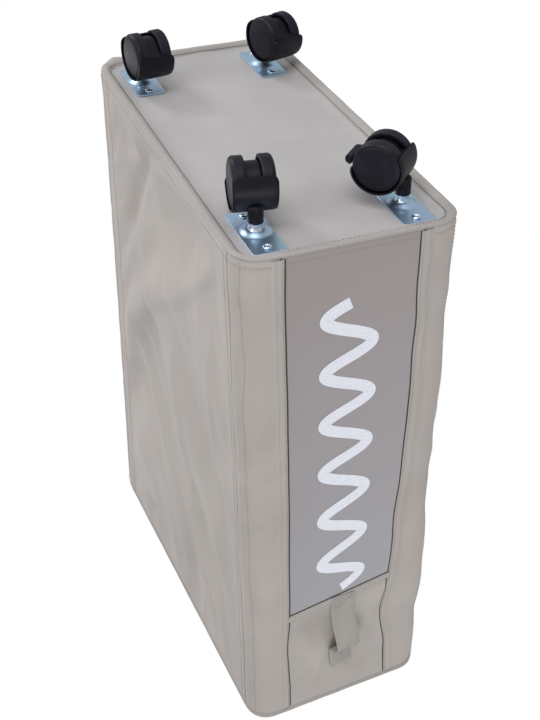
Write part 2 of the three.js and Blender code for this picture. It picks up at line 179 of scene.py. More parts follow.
def lathe_mesh(name, profile, sides):
    """A body turned round its third axis. The profile is [radius, height], in mm."""
    angle = np.linspace(0, 2 * math.pi, sides, endpoint=False)
    ring = np.stack([np.cos(angle), np.sin(angle)], axis=-1)
    profile = np.array(profile) * MM
    points = np.array([[(r * c, r * s, h) for c, s in ring] for r, h in profile])
    around = np.linspace(0, 2 * math.pi * profile[:, 0].max(), sides + 1)
    mesh = grid_mesh(name, points, around, run_lengths(profile), wrap=True)
    tidy(mesh)
    return mesh


def tidy(mesh):
    """Welds points that lie together, and turns the faces outwards."""
    bm = bmesh.new()
    bm.from_mesh(mesh)
    bmesh.ops.remove_doubles(bm, verts=bm.verts, dist=NEAR)
    bmesh.ops.recalc_face_normals(bm, faces=bm.faces)
    bm.to_mesh(mesh)
    bm.free()


def prism_mesh(name, outline, half):
    """An outline in the first two axes, in mm, pushed out by half each way along the third."""
    count = len(outline)
    vertices = [(x * MM, y * MM, -half * MM) for x, y in outline]
    vertices += [(x * MM, y * MM, half * MM) for x, y in outline]
    faces = [tuple(range(count)), tuple(range(2 * count - 1, count - 1, -1))]
    faces += [(i, (i + 1) % count, count + (i + 1) % count, count + i) for i in range(count)]
    mesh = add_mesh(name, vertices, faces)
    tidy(mesh)
    return mesh


def joined(name, meshes):
    bm = bmesh.new()
    for mesh in meshes:
        bm.from_mesh(mesh)
    made = bpy.data.meshes.new(name)
    bm.to_mesh(made)
    bm.free()
    made.shade_smooth()
    return made


def arc(radius, start, end, steps):
    angles = np.radians(np.linspace(start, end, steps + 1))
    return [(radius * math.cos(a), radius * math.sin(a)) for a in angles]


def bevelled(obj, width, angle):
    mod = obj.modifiers.new("edges", "BEVEL")
    mod.width = width
    mod.segments = 2
    mod.limit_method = "ANGLE"
    mod.angle_limit = math.radians(angle)
    mod.harden_normals = True


# ---- materials ----
class Nodes:
    """Builds one material's node tree."""

    def __init__(self, name):
        self.material = bpy.data.materials.new(name)
        self.material.use_nodes = True
        self.tree = self.material.node_tree
        self.shader = self.tree.nodes["Principled BSDF"]

    def node(self, kind, **settings):
        made = self.tree.nodes.new(kind)
        for key, value in settings.items():
            setattr(made, key, value)
        return made

    def link(self, source, target):
        if isinstance(source, (int, float, tuple)):
            target.default_value = source
        else:
            self.tree.links.new(source, target)

    def place(self):
        return self.node("ShaderNodeTexCoord").outputs["Object"]

    def split(self, vector):
        made = self.node("ShaderNodeSeparateXYZ")
        self.link(vector, made.inputs[0])
        return made.outputs

    def math(self, operation, a, b=0.0, clamp=False):
        made = self.node("ShaderNodeMath", operation=operation, use_clamp=clamp)
        self.link(a, made.inputs[0])
        self.link(b, made.inputs[1])
        return made.outputs[0]

    def noise(self, where, scale, detail, stretch=None):
        if stretch is not None:
            mapping = self.node("ShaderNodeMapping")
            mapping.inputs["Scale"].default_value = stretch
            self.link(where, mapping.inputs[0])
            where = mapping.outputs[0]
        made = self.node("ShaderNodeTexNoise")
        made.inputs["Scale"].default_value = scale
        made.inputs["Detail"].default_value = detail
        self.link(where, made.inputs["Vector"])
        return made.outputs["Fac"]

    def ramp(self, factor, low, high, start=0.0, end=1.0):
        """A colour that runs from low to high as factor goes from start to end."""
        made = self.node("ShaderNodeValToRGB")
        made.color_ramp.elements[0].position = start
        made.color_ramp.elements[0].color = (*low, 1)
        made.color_ramp.elements[1].position = end
        made.color_ramp.elements[1].color = (*high, 1)
        self.link(factor, made.inputs[0])
        return made.outputs[0]

    def span(self, factor, low, high):
        """A number that runs from low to high as factor goes from 0 to 1."""
        return self.math("ADD", self.math("MULTIPLY", factor, high - low), low)

    def bump(self, height, distance, strength, normal=None):
        made = self.node("ShaderNodeBump")
        made.inputs["Distance"].default_value = distance
        made.inputs["Strength"].default_value = strength
        self.link(height, made.inputs["Height"])
        if normal is not None:
            self.link(normal, made.inputs["Normal"])
        return made.outputs[0]

    def set(self, **inputs):
        for key, value in inputs.items():
            self.link(value, self.shader.inputs[key.replace("_", " ")])


def tinted(colour, factor):
    return tuple(channel * factor for channel in colour)


def cloth_material(name, colour, pitch=0.75 * MM, sheen=0.12, rough=0.78):
    """Plain-weave polyester. The weave follows the distances stored along each sheet."""
    n = Nodes(name)
    uv = n.node("ShaderNodeUVMap", uv_map="cut").outputs[0]
    place = n.place()
    across, along, _ = n.split(uv)
    warp = n.math("SINE", n.math("MULTIPLY", across, 2 * math.pi / pitch))
    weft = n.math("SINE", n.math("MULTIPLY", along, 2 * math.pi / pitch))
    weave = n.math("MULTIPLY", warp, weft)
    slubs = n.noise(uv, 1.0, 2.0, stretch=(90, 1400, 1))
    slubs_across = n.noise(uv, 1.0, 2.0, stretch=(1400, 90, 1))
    yarn = n.math("MULTIPLY", n.math("ADD", slubs, slubs_across), 0.5)
    patches = n.noise(place, 14, 4.0)
    tone = n.math("ADD", n.math("MULTIPLY", patches, 0.65), n.math("MULTIPLY", yarn, 0.35))
    tone = n.math("ADD", tone, n.math("MULTIPLY", weave, 0.04))
    base = n.ramp(tone, tinted(colour, 0.9), tinted(colour, 1.09), 0.3, 0.7)
    creases = n.noise(place, 38, 5.0)
    height = n.math("ADD", n.math("MULTIPLY", weave, 0.5), yarn)
    fine = n.bump(height, 0.12 * MM, 0.5)
    normal = n.bump(creases, 1.2 * MM, 0.28, fine)
    n.set(Base_Color=base, Roughness=n.span(patches, rough - 0.08, rough + 0.1), Normal=normal)
    n.set(Sheen_Weight=sheen, Sheen_Roughness=0.5, Specular_IOR_Level=0.35)
    return n.material


def vinyl_material(name, colour, cool):
    """A satin, half-clear window panel, a little bluer and lighter towards its upper end."""
    n = Nodes(name)
    place = n.place()
    above_foot = n.math("SUBTRACT", n.split(place)[2], window_low.z)
    rise = n.math("DIVIDE", above_foot, window_high.z - window_low.z, clamp=True)
    cloud = n.noise(place, 9, 3.0)
    mixed = n.math("ADD", n.math("MULTIPLY", rise, 0.8), n.math("MULTIPLY", cloud, 0.25))
    base = n.ramp(mixed, colour, cool, 0.2, 0.95)
    grain = n.noise(place, 900, 2.0)
    waves = n.noise(place, 16, 2.0)
    normal = n.bump(waves, 2.2 * MM, 0.25, n.bump(grain, 0.05 * MM, 0.25))
    n.set(Base_Color=base, Roughness=n.span(grain, 0.34, 0.5), Normal=normal)
    n.set(Coat_Weight=0.12, Coat_Roughness=0.3, Specular_IOR_Level=0.45)
    return n.material


def grained_material(name, dark, light, spread, grain, rough, relief, metallic=0.0):
    """One grain sets the colour, the roughness and the relief.

    grain lists its scale, its detail and, where it is drawn out, its stretch.
    """
    n = Nodes(name)
    fac = n.noise(n.place(), *grain)
    n.set(Base_Color=n.ramp(fac, dark, light, *spread), Metallic=metallic)
    n.set(Roughness=n.span(fac, *rough), Normal=n.bump(fac, *relief))
    return n.material


def print_material(name, colour):
    dark = tinted(colour, 0.88)
    return grained_material(name, dark, colour, (0.3, 0.6), (700, 3.0), (0.4, 0.6), (0.04 * MM, 0.4))


def zinc_material(name, warm, cool, rough):
    """Zinc plating that drifts between two tones, with a fine rolled grain."""
    n = Nodes(name)
    place = n.place()
    drift = n.noise(place, 26, 2.0)
    rolled = n.noise(place, 1.0, 3.0, stretch=(1500, 60, 1500))
    base = n.ramp(drift, cool, warm, 0.35, 0.72)
    n.set(Base_Color=base, Metallic=1.0, Roughness=n.span(rolled, rough - 0.05, rough + 0.14))
    n.set(Normal=n.bump(rolled, 0.03 * MM, 0.5))
    return n.material


def nylon_material(name, colour, rough, grain_scale=1100):
    """Moulded black nylon, with a fine spark-eroded grain and paler rubbed patches."""
    n = Nodes(name)
    place = n.place()
    grain = n.noise(place, grain_scale, 2.0)
    rubbed = n.noise(place, 60, 4.0)
    n.set(Base_Color=n.ramp(rubbed, colour, tinted(colour, 1.8), 0.45, 0.75))
    n.set(Roughness=n.span(rubbed, rough - 0.08, rough + 0.14), Specular_IOR_Level=0.2)
    n.set(Normal=n.bump(rubbed, 0.25 * MM, 0.15, n.bump(grain, 0.06 * MM, 0.35)))
    return n.material


def metal_material(name, colour, rough, metallic=1.0):
    dark = tinted(colour, 0.85)
    drawn = (1.0, 2.0, (900, 900, 30))
    gloss = (rough, rough + 0.15)
    return grained_material(name, dark, colour, (0.35, 0.65), drawn, gloss, (0.03 * MM, 0.4), metallic)


def board_material(name, colour):
    dark, light = tinted(colour, 0.75), tinted(colour, 1.25)
    fibre = (1.0, 5.0, (260, 700, 400))
    return grained_material(name, dark, light, (0.35, 0.65), fibre, (0.8, 0.95), (0.2 * MM, 0.5))


WALL_CLOTH = cloth_material("wall cloth", (0.466, 0.428, 0.402))
BASE_CLOTH = cloth_material("base cloth", (0.45, 0.432, 0.435))
HEM_CLOTH = cloth_material("hem cloth", (0.4, 0.376, 0.36), rough=0.82)
LINING = cloth_material("lining", (0.47, 0.45, 0.43), sheen=0.05, rough=0.7)
STRAP_CLOTH = cloth_material("strap cloth", (0.385, 0.363, 0.338), pitch=0.9 * MM)
THREAD = cloth_material("thread", (0.42, 0.392, 0.366), pitch=0.35 * MM, sheen=0.2)
# painted shade: near-black cloth that draws the shadow lines along the window's seams, and also colours the
# collar's stitches
SEAM_SHADE = cloth_material("seam shade", (0.05, 0.046, 0.045), pitch=0.35 * MM, sheen=0.0)
WINDOW = vinyl_material("window vinyl", (0.325, 0.285, 0.288), (0.335, 0.335, 0.37))
PRINT = print_material("white print", (0.86, 0.885, 0.97))
ZINC = zinc_material("blue zinc", (0.56, 0.68, 0.98), (0.56, 0.82, 1.0), rough=0.34)
BRIGHT = zinc_material("bright zinc", (0.75, 0.8, 0.88), (0.6, 0.78, 0.95), rough=0.2)
NYLON = nylon_material("black nylon", (0.006, 0.006, 0.0105), 0.36)
WHEEL_NYLON = nylon_material("wheel nylon", (0.009, 0.009, 0.0155), 0.42, grain_scale=700)
WIRE = metal_material("drawn wire", (0.62, 0.62, 0.62), 0.25)
TUBE = metal_material("coated tube", (0.4, 0.4, 0.4), 0.4, metallic=0.0)
BOARD = board_material("pressed board", (0.17, 0.15, 0.13))


# ---- putting pieces in the frame ----
bag_pieces = []


def dress(obj, material, body="bag", nodes=()):
    """Gives a piece its material and its body, and hides the CAD nodes it stands for."""
    obj.data.materials.clear()
    obj.data.materials.append(material)
    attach(obj, body)
    if body == "bag":
        bag_pieces.append(obj)
    if nodes:
        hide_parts(*nodes)


# ---- the bag's walls, as one slack shell held at its hems, rods and window ----
def on_wall(s):
    """The point and outward direction at distance s round the wall."""
    side = np.sign(s)
    d = np.abs(s)
    flat = WALL_X - WALL_R
    quarter = math.pi * WALL_R / 2
    a1 = np.clip((d - flat) / WALL_R, 0, math.pi / 2)
    a2 = np.clip((d - S_BACK) / WALL_R, 0, math.pi / 2)
    along_side = np.clip(d - flat - quarter, 0, SIDE_DEEP)
    x = np.minimum(d, flat) + WALL_R * np.sin(a1) - WALL_R * (1 - np.cos(a2))
    x -= np.maximum(d - S_BACK - quarter, 0)
    y = -WALL_Y + WALL_R * (1 - np.cos(a1)) + along_side + WALL_R * np.sin(a2)
    turn = a1 + a2
    return np.stack([side * x, y], -1), np.stack([side * np.sin(turn), -np.cos(turn)], -1)


def stations(marks, step):
    """Distances from mark to mark, with steps no longer than step."""
    runs = [np.linspace(a, b, max(2, math.ceil((b - a) / step) + 1)) for a, b in zip(marks, marks[1:])]
    return np.concatenate([runs[0]] + [run[1:] for run in runs[1:]])


half_round = stations([0, S_STRIP, S_SIDE, S_ROD_FRONT, S_ROD_BACK, S_BACK, S_END], 5.5 * MM)
wall_s = np.concatenate([-half_round[-2:0:-1], half_round])
wall_z = stations([WALL_FOOT, COLLAR + HEM_LEG, WINDOW_TOP, RIM - HEM_LEG, WALL_TOP], 5.5 * MM)


def wall_inset(s, z):
    """How far the unstrained cloth lies inside the CAD wall, below 0 where it stands outside it."""
    d = np.abs(s)
    up = (z - COLLAR) / SIDE_TALL
    belly = np.sin(np.pi * np.clip(up, 0, 1)) ** 0.6
    side = np.sin(np.pi * np.clip((d - S_SIDE) / SIDE_DEEP, 0, 1)) ** 0.8
    back = smooth((d - S_BACK - 20 * MM) / (S_END - S_BACK))
    under_rim = 1.6 * (1 - smooth(((RIM - z) / HEM_LEG - 0.55) / 0.4))
    at_foot = 0.5 * (1 - smooth((z - WALL_FOOT) / (2 * MM)))
    return (belly * (3.0 * side + 2.0 * back + 0.8) + (under_rim + at_foot)) * MM - FLUSH


# Long creases in a side panel. Each runs from [depth, height] to [depth, height], as shares of the
# panel from its front and from its foot, and has a width and a height in mm.
CREASES = [
    ((0.02, 0.02), (1.0, 0.6), 30, 5.0),
    ((0.95, 0.42), (0.05, 0.93), 24, 3.4),
    ((0.75, 0.25), (0.2, 0.8), 16, -2.6),
    ((0.98, 0.68), (0.3, 0.99), 20, 3.0),
    ((0.55, 0.02), (0.97, 0.38), 24, -3.2),
    ((0.16, 0.12), (0.1, 0.78), 12, 2.2),
    ((0.42, 0.3), (0.3, 0.66), 12, 1.8),
    ((0.88, 0.04), (0.99, 0.5), 15, 2.4),
    ((0.6, 0.62), (0.12, 0.99), 11, -2.0),
]

# The same for the panel over the window, in the same shares, with depth counted from its -X seam.
FRONT_CREASES = [
    ((0.345, 0.99), (0.2, 0.78), 9, 8.0),
    ((0.31, 0.73), (0.04, 0.98), 14, -6.0),
    ((0.02, 0.75), (0.3, 0.9), 10, 4.0),
]
FOLD_OUT = 9  # mm that a fold may stand out
FOLD_IN = 15  # mm that it may sink in


def crease(depth, height, start, end, width, tall):
    """A soft ridge from start to end, steeper on one side, that fades at both ends."""
    ax, ay = start[0] * SIDE_DEEP, start[1] * SIDE_TALL
    bx, by = end[0] * SIDE_DEEP, end[1] * SIDE_TALL
    length = math.hypot(bx - ax, by - ay)
    along = ((depth - ax) * (bx - ax) + (height - ay) * (by - ay)) / length
    off = ((depth - ax) * (by - ay) - (height - ay) * (bx - ax)) / length
    off = off + 9 * MM * np.sin(along * 14 + start[0] * 9)
    ends = smooth(along / (70 * MM)) * smooth((length - along) / (70 * MM))
    spread = width * MM * (0.65 + 0.5 * smooth(along / length))
    steeper = 1 + 0.7 * np.tanh(2.5 * off / spread)
    return tall * MM * ends * np.exp(-((off / spread) ** 2)) * steeper


def wall_folds(s, z):
    """Broad slanting folds in the slack cloth, none in the window."""
    d = np.abs(s)
    past_front_rod = smooth((d - S_ROD_FRONT - 8 * MM) / (50 * MM))
    slack = past_front_rod * smooth((S_ROD_BACK - 8 * MM - d) / (50 * MM))
    back = 0.75 * smooth((d - S_BACK - 25 * MM) / (50 * MM))
    ends = smooth((z - COLLAR - HEM_LEG) / (40 * MM)) * smooth((RIM - HEM_LEG - z) / (40 * MM))
    slow = fuzz(s * 9 + 3.1 * z + 4 * z, z * 5 - s * 3, 1.7)
    broad = fuzz(s * 5 - z * 4, z * 3.2 + s * 2, 8.2)
    fine = fuzz(s * 26 + z * 17, z * 9 - s * 5, 2.9)
    facets = 0.5 - 2.2 * np.abs(fuzz(s * 6 - z * 5, z * 4.5 + s * 2, 4.7))
    facets += 0.3 - 1.3 * np.abs(fuzz(s * 13 + z * 9, z * 8 - s * 3, 9.4))
    folds = (slack + back) * ends * (4.5 * slow + 5 * broad + 1.6 * fine + 4.5 * facets) * MM
    depth = np.where(s > 0, d - S_SIDE, S_BACK - d)
    for start, end, width, tall in CREASES:
        folds = folds + 1.9 * slack * ends * crease(depth, z - COLLAR, start, end, width, tall)
    strip = smooth((d - S_STRIP) / (12 * MM)) * smooth((S_SIDE + 4 * MM - d) / (14 * MM))
    upper = smooth((S_STRIP + 10 * MM - d) / (20 * MM)) * smooth((z - WINDOW_TOP) / (25 * MM))
    dents = np.abs(fuzz(s * 24 - z * 14, z * 12, 1.2))
    ripples = fuzz(s * 22 + z * 9, z * 9 - s * 7, 6.6) - 0.9 * dents + 0.2
    calm = 0.7 + 0.3 * smooth((z - COLLAR - 60 * MM) / (140 * MM))
    folds = calm * folds + ends * (4.5 * strip + 9 * upper) * ripples * MM
    creased = upper * ends * smooth((d - 17 * MM) / (15 * MM))  # none under the strap
    for start, end, width, tall in FRONT_CREASES:
        folds = folds + creased * crease(s + S_STRIP, z - COLLAR, start, end, width, tall)
    out = FOLD_OUT * np.tanh(folds / (FOLD_OUT * MM))
    sunk = FOLD_IN * np.tanh(folds / (FOLD_IN * MM))
    return np.where(folds > 0, out, sunk) * MM


def wall_puckers(s, z):
    """Small gathers where the cloth is sewn into the hems."""
    low = np.exp(-np.maximum(z - COLLAR - HEM_LEG, 0) / (16 * MM)) * (z > COLLAR + HEM_LEG)
    high = np.exp(-np.maximum(RIM - HEM_LEG - z, 0) / (20 * MM)) * (z < RIM - HEM_LEG)
    fabric = 1 - (np.abs(s) < WINDOW_HALF) * (z < WINDOW_TOP)
    gather = fuzz(s * 75, z * 12, 3.3)
    return fabric * gather * (0.7 * low + 0.9 * high) * MM


def window_creep(s, z):
    """How far the window's two side seams have crept in over it, most of all near the rim."""
    up = smooth((z - COLLAR) / SIDE_TALL)
    d = np.abs(s)
    share = np.where(d < S_STRIP, d / S_STRIP, np.clip((S_SIDE - d) / (S_SIDE - S_STRIP), 0, 1))
    kink = 8 * bump(z, WINDOW_TOP + 55 * MM, 48 * MM)
    return np.where(s < 0, (4 + 5 * up + kink) * share, -(2.5 + 1.5 * up) * share) * MM


def window_tilt(s, z):
    """How far the seam over the window has slipped up towards its +X end."""
    below = smooth((z - WINDOW_TOP + 0.2) / 0.2)
    near = below * smooth((RIM - HEM_LEG - z) / (RIM - HEM_LEG - WINDOW_TOP))
    across = smooth((S_SIDE - np.abs(s)) / (S_SIDE - S_STRIP))
    return near * across * (6 + 9 * np.clip(s / S_STRIP, -1, 1)) * MM


def wall_shape(s, z):
    """The slack shell before it settles, as points[z, s]."""
    grid_s, grid_z = np.meshgrid(s, z)
    where, out = on_wall(grid_s + window_creep(grid_s, grid_z))
    depth = wall_folds(grid_s, grid_z) - wall_inset(grid_s, grid_z)
    flat = where + out * depth[..., None]
    height = grid_z + window_tilt(grid_s, grid_z)
    return np.concatenate([flat, height[..., None]], -1)


def held(s, z):
    """How firmly each point of the wall is held: 1 at the hems, window and rods."""
    grid_s, grid_z = np.meshgrid(np.abs(s), z)
    firm = np.maximum.reduce([
        0.5 * (grid_s < S_ROD_FRONT),
        0.35 * (grid_s > S_ROD_BACK) * (grid_s < S_BACK + 30 * MM),
        bump(grid_s, S_ROD_FRONT, 9 * MM),
        bump(grid_s, S_ROD_BACK, 9 * MM),
    ])
    firm[(grid_s <= WINDOW_HALF + NEAR) & (grid_z <= WINDOW_TOP + NEAR)] = 1
    firm[(grid_z <= COLLAR + HEM_LEG + NEAR) | (grid_z >= RIM - HEM_LEG - NEAR)] = 1
    return firm


def settle(points, firm, frames=14, slack=0.0035, most=6 * MM):
    """Lets the slack shell find its own folds between the held lines, as a cloth simulation."""
    rows, columns = points.shape[:2]
    mesh = grid_mesh("settling", points, np.arange(columns + 1), np.arange(rows), wrap=True)
    obj = add_object("settling", mesh)
    group = obj.vertex_groups.new(name="held")
    for index, weight in enumerate(firm.ravel()):
        group.add([index], float(weight), "REPLACE")
    cloth = obj.modifiers.new("cloth", "CLOTH")
    settings = cloth.settings
    settings.quality = 6
    settings.mass = 0.12
    settings.tension_stiffness = 25
    settings.compression_stiffness = 25
    settings.shear_stiffness = 12
    settings.bending_stiffness = 2.5
    settings.shrink_min = -slack
    settings.vertex_group_mass = "held"
    settings.effector_weights.gravity = 0.15
    cloth.collision_settings.use_collision = False
    scene = bpy.context.scene
    for frame_number in range(1, frames + 1):
        scene.frame_set(frame_number)
    evaluated = obj.evaluated_get(bpy.context.evaluated_depsgraph_get())
    moved = np.array([vertex.co for vertex in evaluated.data.vertices]).reshape(points.shape)
    bpy.data.objects.remove(obj)
    scene.frame_set(1)
    step = moved - points
    length = np.linalg.norm(step, axis=-1, keepdims=True)
    return points + step * np.minimum(1, most / np.maximum(length, 1e-9))


wall = wall_shape(wall_s, wall_z)
wall = settle(wall, held(wall_s, wall_z))
grid_s, grid_z = np.meshgrid(wall_s, wall_z)
wall[..., :2] += on_wall(grid_s)[1] * wall_puckers(grid_s, grid_z)[..., None]

# the same shell with its last column repeated before its first, so that any place can be looked up
ring_s = np.concatenate([[wall_s[-1] - 2 * S_END], wall_s])
ring = np.concatenate([wall[:, -1:], wall], axis=1)


def wall_at(s, z):
    """The point on the settled wall at distance s round it and height z."""
    j = int(np.clip(np.searchsorted(ring_s, s) - 1, 0, len(ring_s) - 2))
    i = int(np.clip(np.searchsorted(wall_z, z) - 1, 0, len(wall_z) - 2))
    a = (s - ring_s[j]) / (ring_s[j + 1] - ring_s[j])
    b = (z - wall_z[i]) / (wall_z[i + 1] - wall_z[i])
    low = ring[i, j] * (1 - a) + ring[i, j + 1] * a
    high = ring[i + 1, j] * (1 - a) + ring[i + 1, j + 1] * a
    return Vector(low * (1 - b) + high * b)


def wall_frame(s, z):
    """The point and the outward normal on the settled wall."""
    step = 2 * MM
    along = (wall_at(s + step, z) - wall_at(s - step, z)).normalized()
    up = wall_at(s, z + step) - wall_at(s, z - step)
    return wall_at(s, z), along.cross(up).normalized()


def wall_panel(name, node, start, end, z_low, z_high, material=WALL_CLOTH):
    """One cut panel of the wall, from start to end round it. The back one runs on past S_END."""
    rows = (wall_z >= z_low - NEAR) & (wall_z <= z_high + NEAR)
    after = wall_s >= start - NEAR
    before = wall_s <= end + NEAR
    if start < end:
        columns = np.where(after & before)[0]
        s = wall_s[columns]
    else:
        columns = np.concatenate([np.where(after)[0], np.where(before)[0]])
        s = np.concatenate([wall_s[after], wall_s[before] + 2 * S_END])
    obj = sheet_object(name, wall[rows][:, columns], s, wall_z[rows])
    dress(obj, material, nodes=[node])


for node, start, end in (
    ("side_panel_right", S_SIDE, S_BACK),
    ("side_panel_left", -S_BACK, -S_SIDE),
    ("front_strip_right", S_STRIP, S_SIDE),
    ("front_strip_left", -S_SIDE, -S_STRIP),
    ("back_panel", S_BACK, -S_BACK),
):
    wall_panel(f"{node}_cloth", node, start, end, WALL_FOOT, WALL_TOP)
wall_panel("window_vinyl", "window_panel", -S_STRIP, S_STRIP, WALL_FOOT, WINDOW_TOP, WINDOW)
wall_panel("front_upper_cloth", "front_upper_panel", -S_STRIP, S_STRIP, WINDOW_TOP, WALL_TOP)


# ---- hems: folded bands over the wire loops ----
OUTLINE_STEP = 4.5 * MM


def outline(inset):
    """The hamper's rounded outline, drawn in by inset, as points and outward directions."""
    radius = CORNER - inset
    x = HALF_X - inset - radius
    y = HALF_Y - inset - radius
    sides = [(x, y, 0), (-x, y, 90), (-x, -y, 180), (x, -y, 270)]
    points = []
    outward = []
    for index, (cx, cy, start) in enumerate(sides):
        for direction in arc(1, start, start + 90, 9):
            points.append((cx + radius * direction[0], cy + radius * direction[1]))
            outward.append(direction)
        nx, ny, turned = sides[(index + 1) % 4]
        turned = math.radians(turned)
        a = np.array(points[-1])
        b = np.array([nx + radius * math.cos(turned), ny + radius * math.sin(turned)])
        count = round(np.linalg.norm(b - a) / OUTLINE_STEP)
        for t in np.linspace(0, 1, count + 1)[1:-1]:
            points.append(tuple(a * (1 - t) + b * t))
            outward.append(outward[-1])
    return np.array(points), np.array(outward)


def hem(name, node, closed, opened, looseness, slope, under_wall):
    """A band folded over its wire: a U with a short outer leg and a longer inner one.

    The inner half of its flat end slopes back by slope, clear of the wire. Under a wall, its outer leg
    stands further in.
    """
    up = math.copysign(1, opened - closed)
    tall = abs(opened - closed)
    half = HEM_WIDE / 2
    section = [(half - 1.1 * MM, HEM_LEG), (half - 0.3 * MM, HEM_LEG * 0.8), (half, HEM_LEG * 0.55)]
    if under_wall:
        section = [(half - 1.7 * MM, HEM_LEG), (half - 1.5 * MM, 4.2 * MM), (half - 0.3 * MM, 2.9 * MM)]
    for a in np.radians(np.arange(6, 175, 12)):
        across = math.copysign(abs(math.cos(a)) ** 0.5, math.cos(a))
        rise = slope * max(-across, 0) ** 1.15
        section.append((half * across, 2.4 * MM * (1 - math.sin(a) ** 0.5) + rise))
    section += [(-half, slope + 5 * MM), (-half, 0.75 * tall), (-half, tall)]
    section = np.array(section)
    middle, outward = outline(half)
    around = run_lengths(np.concatenate([middle, middle[:1]]))
    lengths = run_lengths(section)
    corner = np.exp(-(((np.abs(outward[:, 0] * outward[:, 1]) - 0.5) / 0.3) ** 2))
    bunched = bump(np.hypot(middle[:, 0] - HALF_X, middle[:, 1] - HALF_Y), 0, 45 * MM)
    loose = looseness * (0.5 + 1.2 * corner + 6 * bunched)
    slow = fuzz(around[:-1] * 11, 0.4, 2.4)
    points = np.zeros((len(section), len(middle), 3))
    for i, (across, along) in enumerate(section):
        gathers = fuzz(around[:-1] * 60, lengths[i] * 70, 5.1)
        crumple = fuzz(around[:-1] * 105, lengths[i] * 130, 7.7)
        swell = 1 + 0.04 * loose * (0.3 + gathers) * (across > 0) + 0.04 * loose * gathers
        points[i, :, :2] = middle + outward * (across * swell)[:, None]
        points[i, :, :2] += outward * (2.4 * MM * bunched * crumple)[:, None]
        shift = 0.45 * loose * (gathers + 0.6 * slow) + 2.8 * bunched * crumple
        points[i, :, 2] = closed + up * (along - shift * MM)
    if up < 0:
        points = points[::-1]
    obj = sheet_object(name, points[::-1], around, lengths, wrap=True, thick=HEM_CLOTH_THICK)
    dress(obj, HEM_CLOTH, nodes=[node])


hem(
    "top_hem_cloth", "top_hem", RIM, RIM - HEM_TALL,
    looseness=0.7, slope=0.5 * MM, under_wall=False,
)
hem(
    "bottom_hem_cloth", "bottom_hem", COLLAR, COLLAR + HEM_TALL,
    looseness=1.0, slope=4.2 * MM, under_wall=True,
)


# ---- the bottom: cover outside, liner inside ----
def flat_panel(name, half_x, half_y, radius, z, rise, material, node, down):
    """A rounded rectangle of cloth at height z. rise(x, y) says how far it stands off that height."""
    columns = 41
    ys = stations([-half_y, -half_y + radius, half_y - radius, half_y], 4.5 * MM)
    x, y = rounded_grid(half_x, half_y, radius, ys, columns, least=0.25 * radius)
    points = np.stack([x, y, z + rise(x, y)], -1)
    if down:
        points = points[:, ::-1]
    obj = sheet_object(name, points, np.linspace(-1, 1, columns) * half_x, ys, thick=HEM_CLOTH_THICK)
    dress(obj, material, nodes=[node])


cover_low, cover_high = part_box("bottom_cover")
COVER_UNDER = 2.2 * MM  # the cover's edge is tucked this far under the hem
plate_centres = [joints[f"swivel_{caster}"]["pos_m"] for caster in CASTERS]


def from_cover_edge(x, y):
    return np.minimum(cover_high.x - np.abs(x), cover_high.y - np.abs(y))


def cover_rise(x, y):
    """The cover is pressed flat under the plates, slack between them, and drawn down at its edge."""
    edge = from_cover_edge(x, y)
    slack = 0.9 * fuzz(x * 14 + y * 6, y * 9 - x * 4, 4.4) + 0.4 * fuzz(x * 40, y * 30, 6.1)
    pressed = sum(bump(np.hypot((x - px) * 1.6, y - py), 0, 38 * MM) for px, py, _ in plate_centres)
    front = smooth((-y - cover_high.y + 60 * MM) / (60 * MM))
    hem_pull = np.exp(-edge / (5 * MM)) + 0.4 * front * np.exp(-edge / (16 * MM))
    gather = fuzz(x * 90 + 3, y * 90, 9.0) * np.exp(-edge / (9 * MM))
    return (-0.9 * (slack + 0.45) * (1 - np.minimum(pressed, 1)) - 2.0 * hem_pull - 0.6 * gather) * MM


def liner_rise(x, y):
    slack = fuzz(x * 12 + y * 5, y * 8, 7.4)
    return (0.6 * slack + 0.9 * np.exp(-from_cover_edge(x, y) / (9 * MM))) * MM


flat_panel(
    "bottom_cover_cloth", cover_high.x + COVER_UNDER, cover_high.y + COVER_UNDER,
    CORNER - HEM_WIDE + COVER_UNDER, cover_low.z + 0.1 * MM,
    cover_rise, BASE_CLOTH, "bottom_cover", down=True,
)
liner_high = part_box("base_liner")[1]
flat_panel(
    "base_liner_cloth", liner_high.x, liner_high.y, CORNER - HEM_WIDE, liner_high.z,
    liner_rise, LINING, "base_liner", down=False,
)


# ---- sleeves round the upright rods ----
def sleeve(end, side):
    """A strip of lining sewn to the wall at both edges, with the rod in the pocket between them."""
    node = f"rod_sleeve_{end}_{side}"
    rod = f"upright_rod_{end}_{side}"
    rod_low, rod_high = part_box(rod)
    centre = (rod_low + rod_high) / 2
    sign = 1 if side == "right" else -1
    reach = abs(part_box(node)[1 if sign > 0 else 0].x - centre.x) + FLUSH * 0.6
    radius = (rod_high.x - rod_low.x) / 2 + 0.5 * MM
    section = [(reach, radius + 6 * MM), (reach - 0.4 * MM, radius + 2.5 * MM)]
    section += arc(radius, 75, 285, 12)
    section += [(reach - 0.4 * MM, -radius - 2.5 * MM), (reach, -radius - 6 * MM)]
    section = np.array(section)
    zs = np.linspace(rod_low.z, rod_high.z, 70)
    lengths = run_lengths(section)
    loose = 1 + 0.12 * fuzz(centre.y * 7, zs[:, None] * 40, centre.x * 9)
    points = np.zeros((len(zs), len(section), 3))
    free = section[:, 0] < reach - 1 * MM
    points[..., 0] = centre.x + sign * np.where(free, section[:, 0] * loose, section[:, 0])
    points[..., 1] = centre.y + section[:, 1]
    points[..., 2] = zs[:, None]
    if sign < 0:
        points = points[:, ::-1]
    obj = sheet_object(f"{node}_cloth", points, lengths, zs, thick=0.6 * MM)
    obj.modifiers["thickness"].offset = 0
    dress(obj, LINING, nodes=[node])


for rod_end in ("front", "back"):
    for rod_side in ("left", "right"):
        sleeve(rod_end, rod_side)


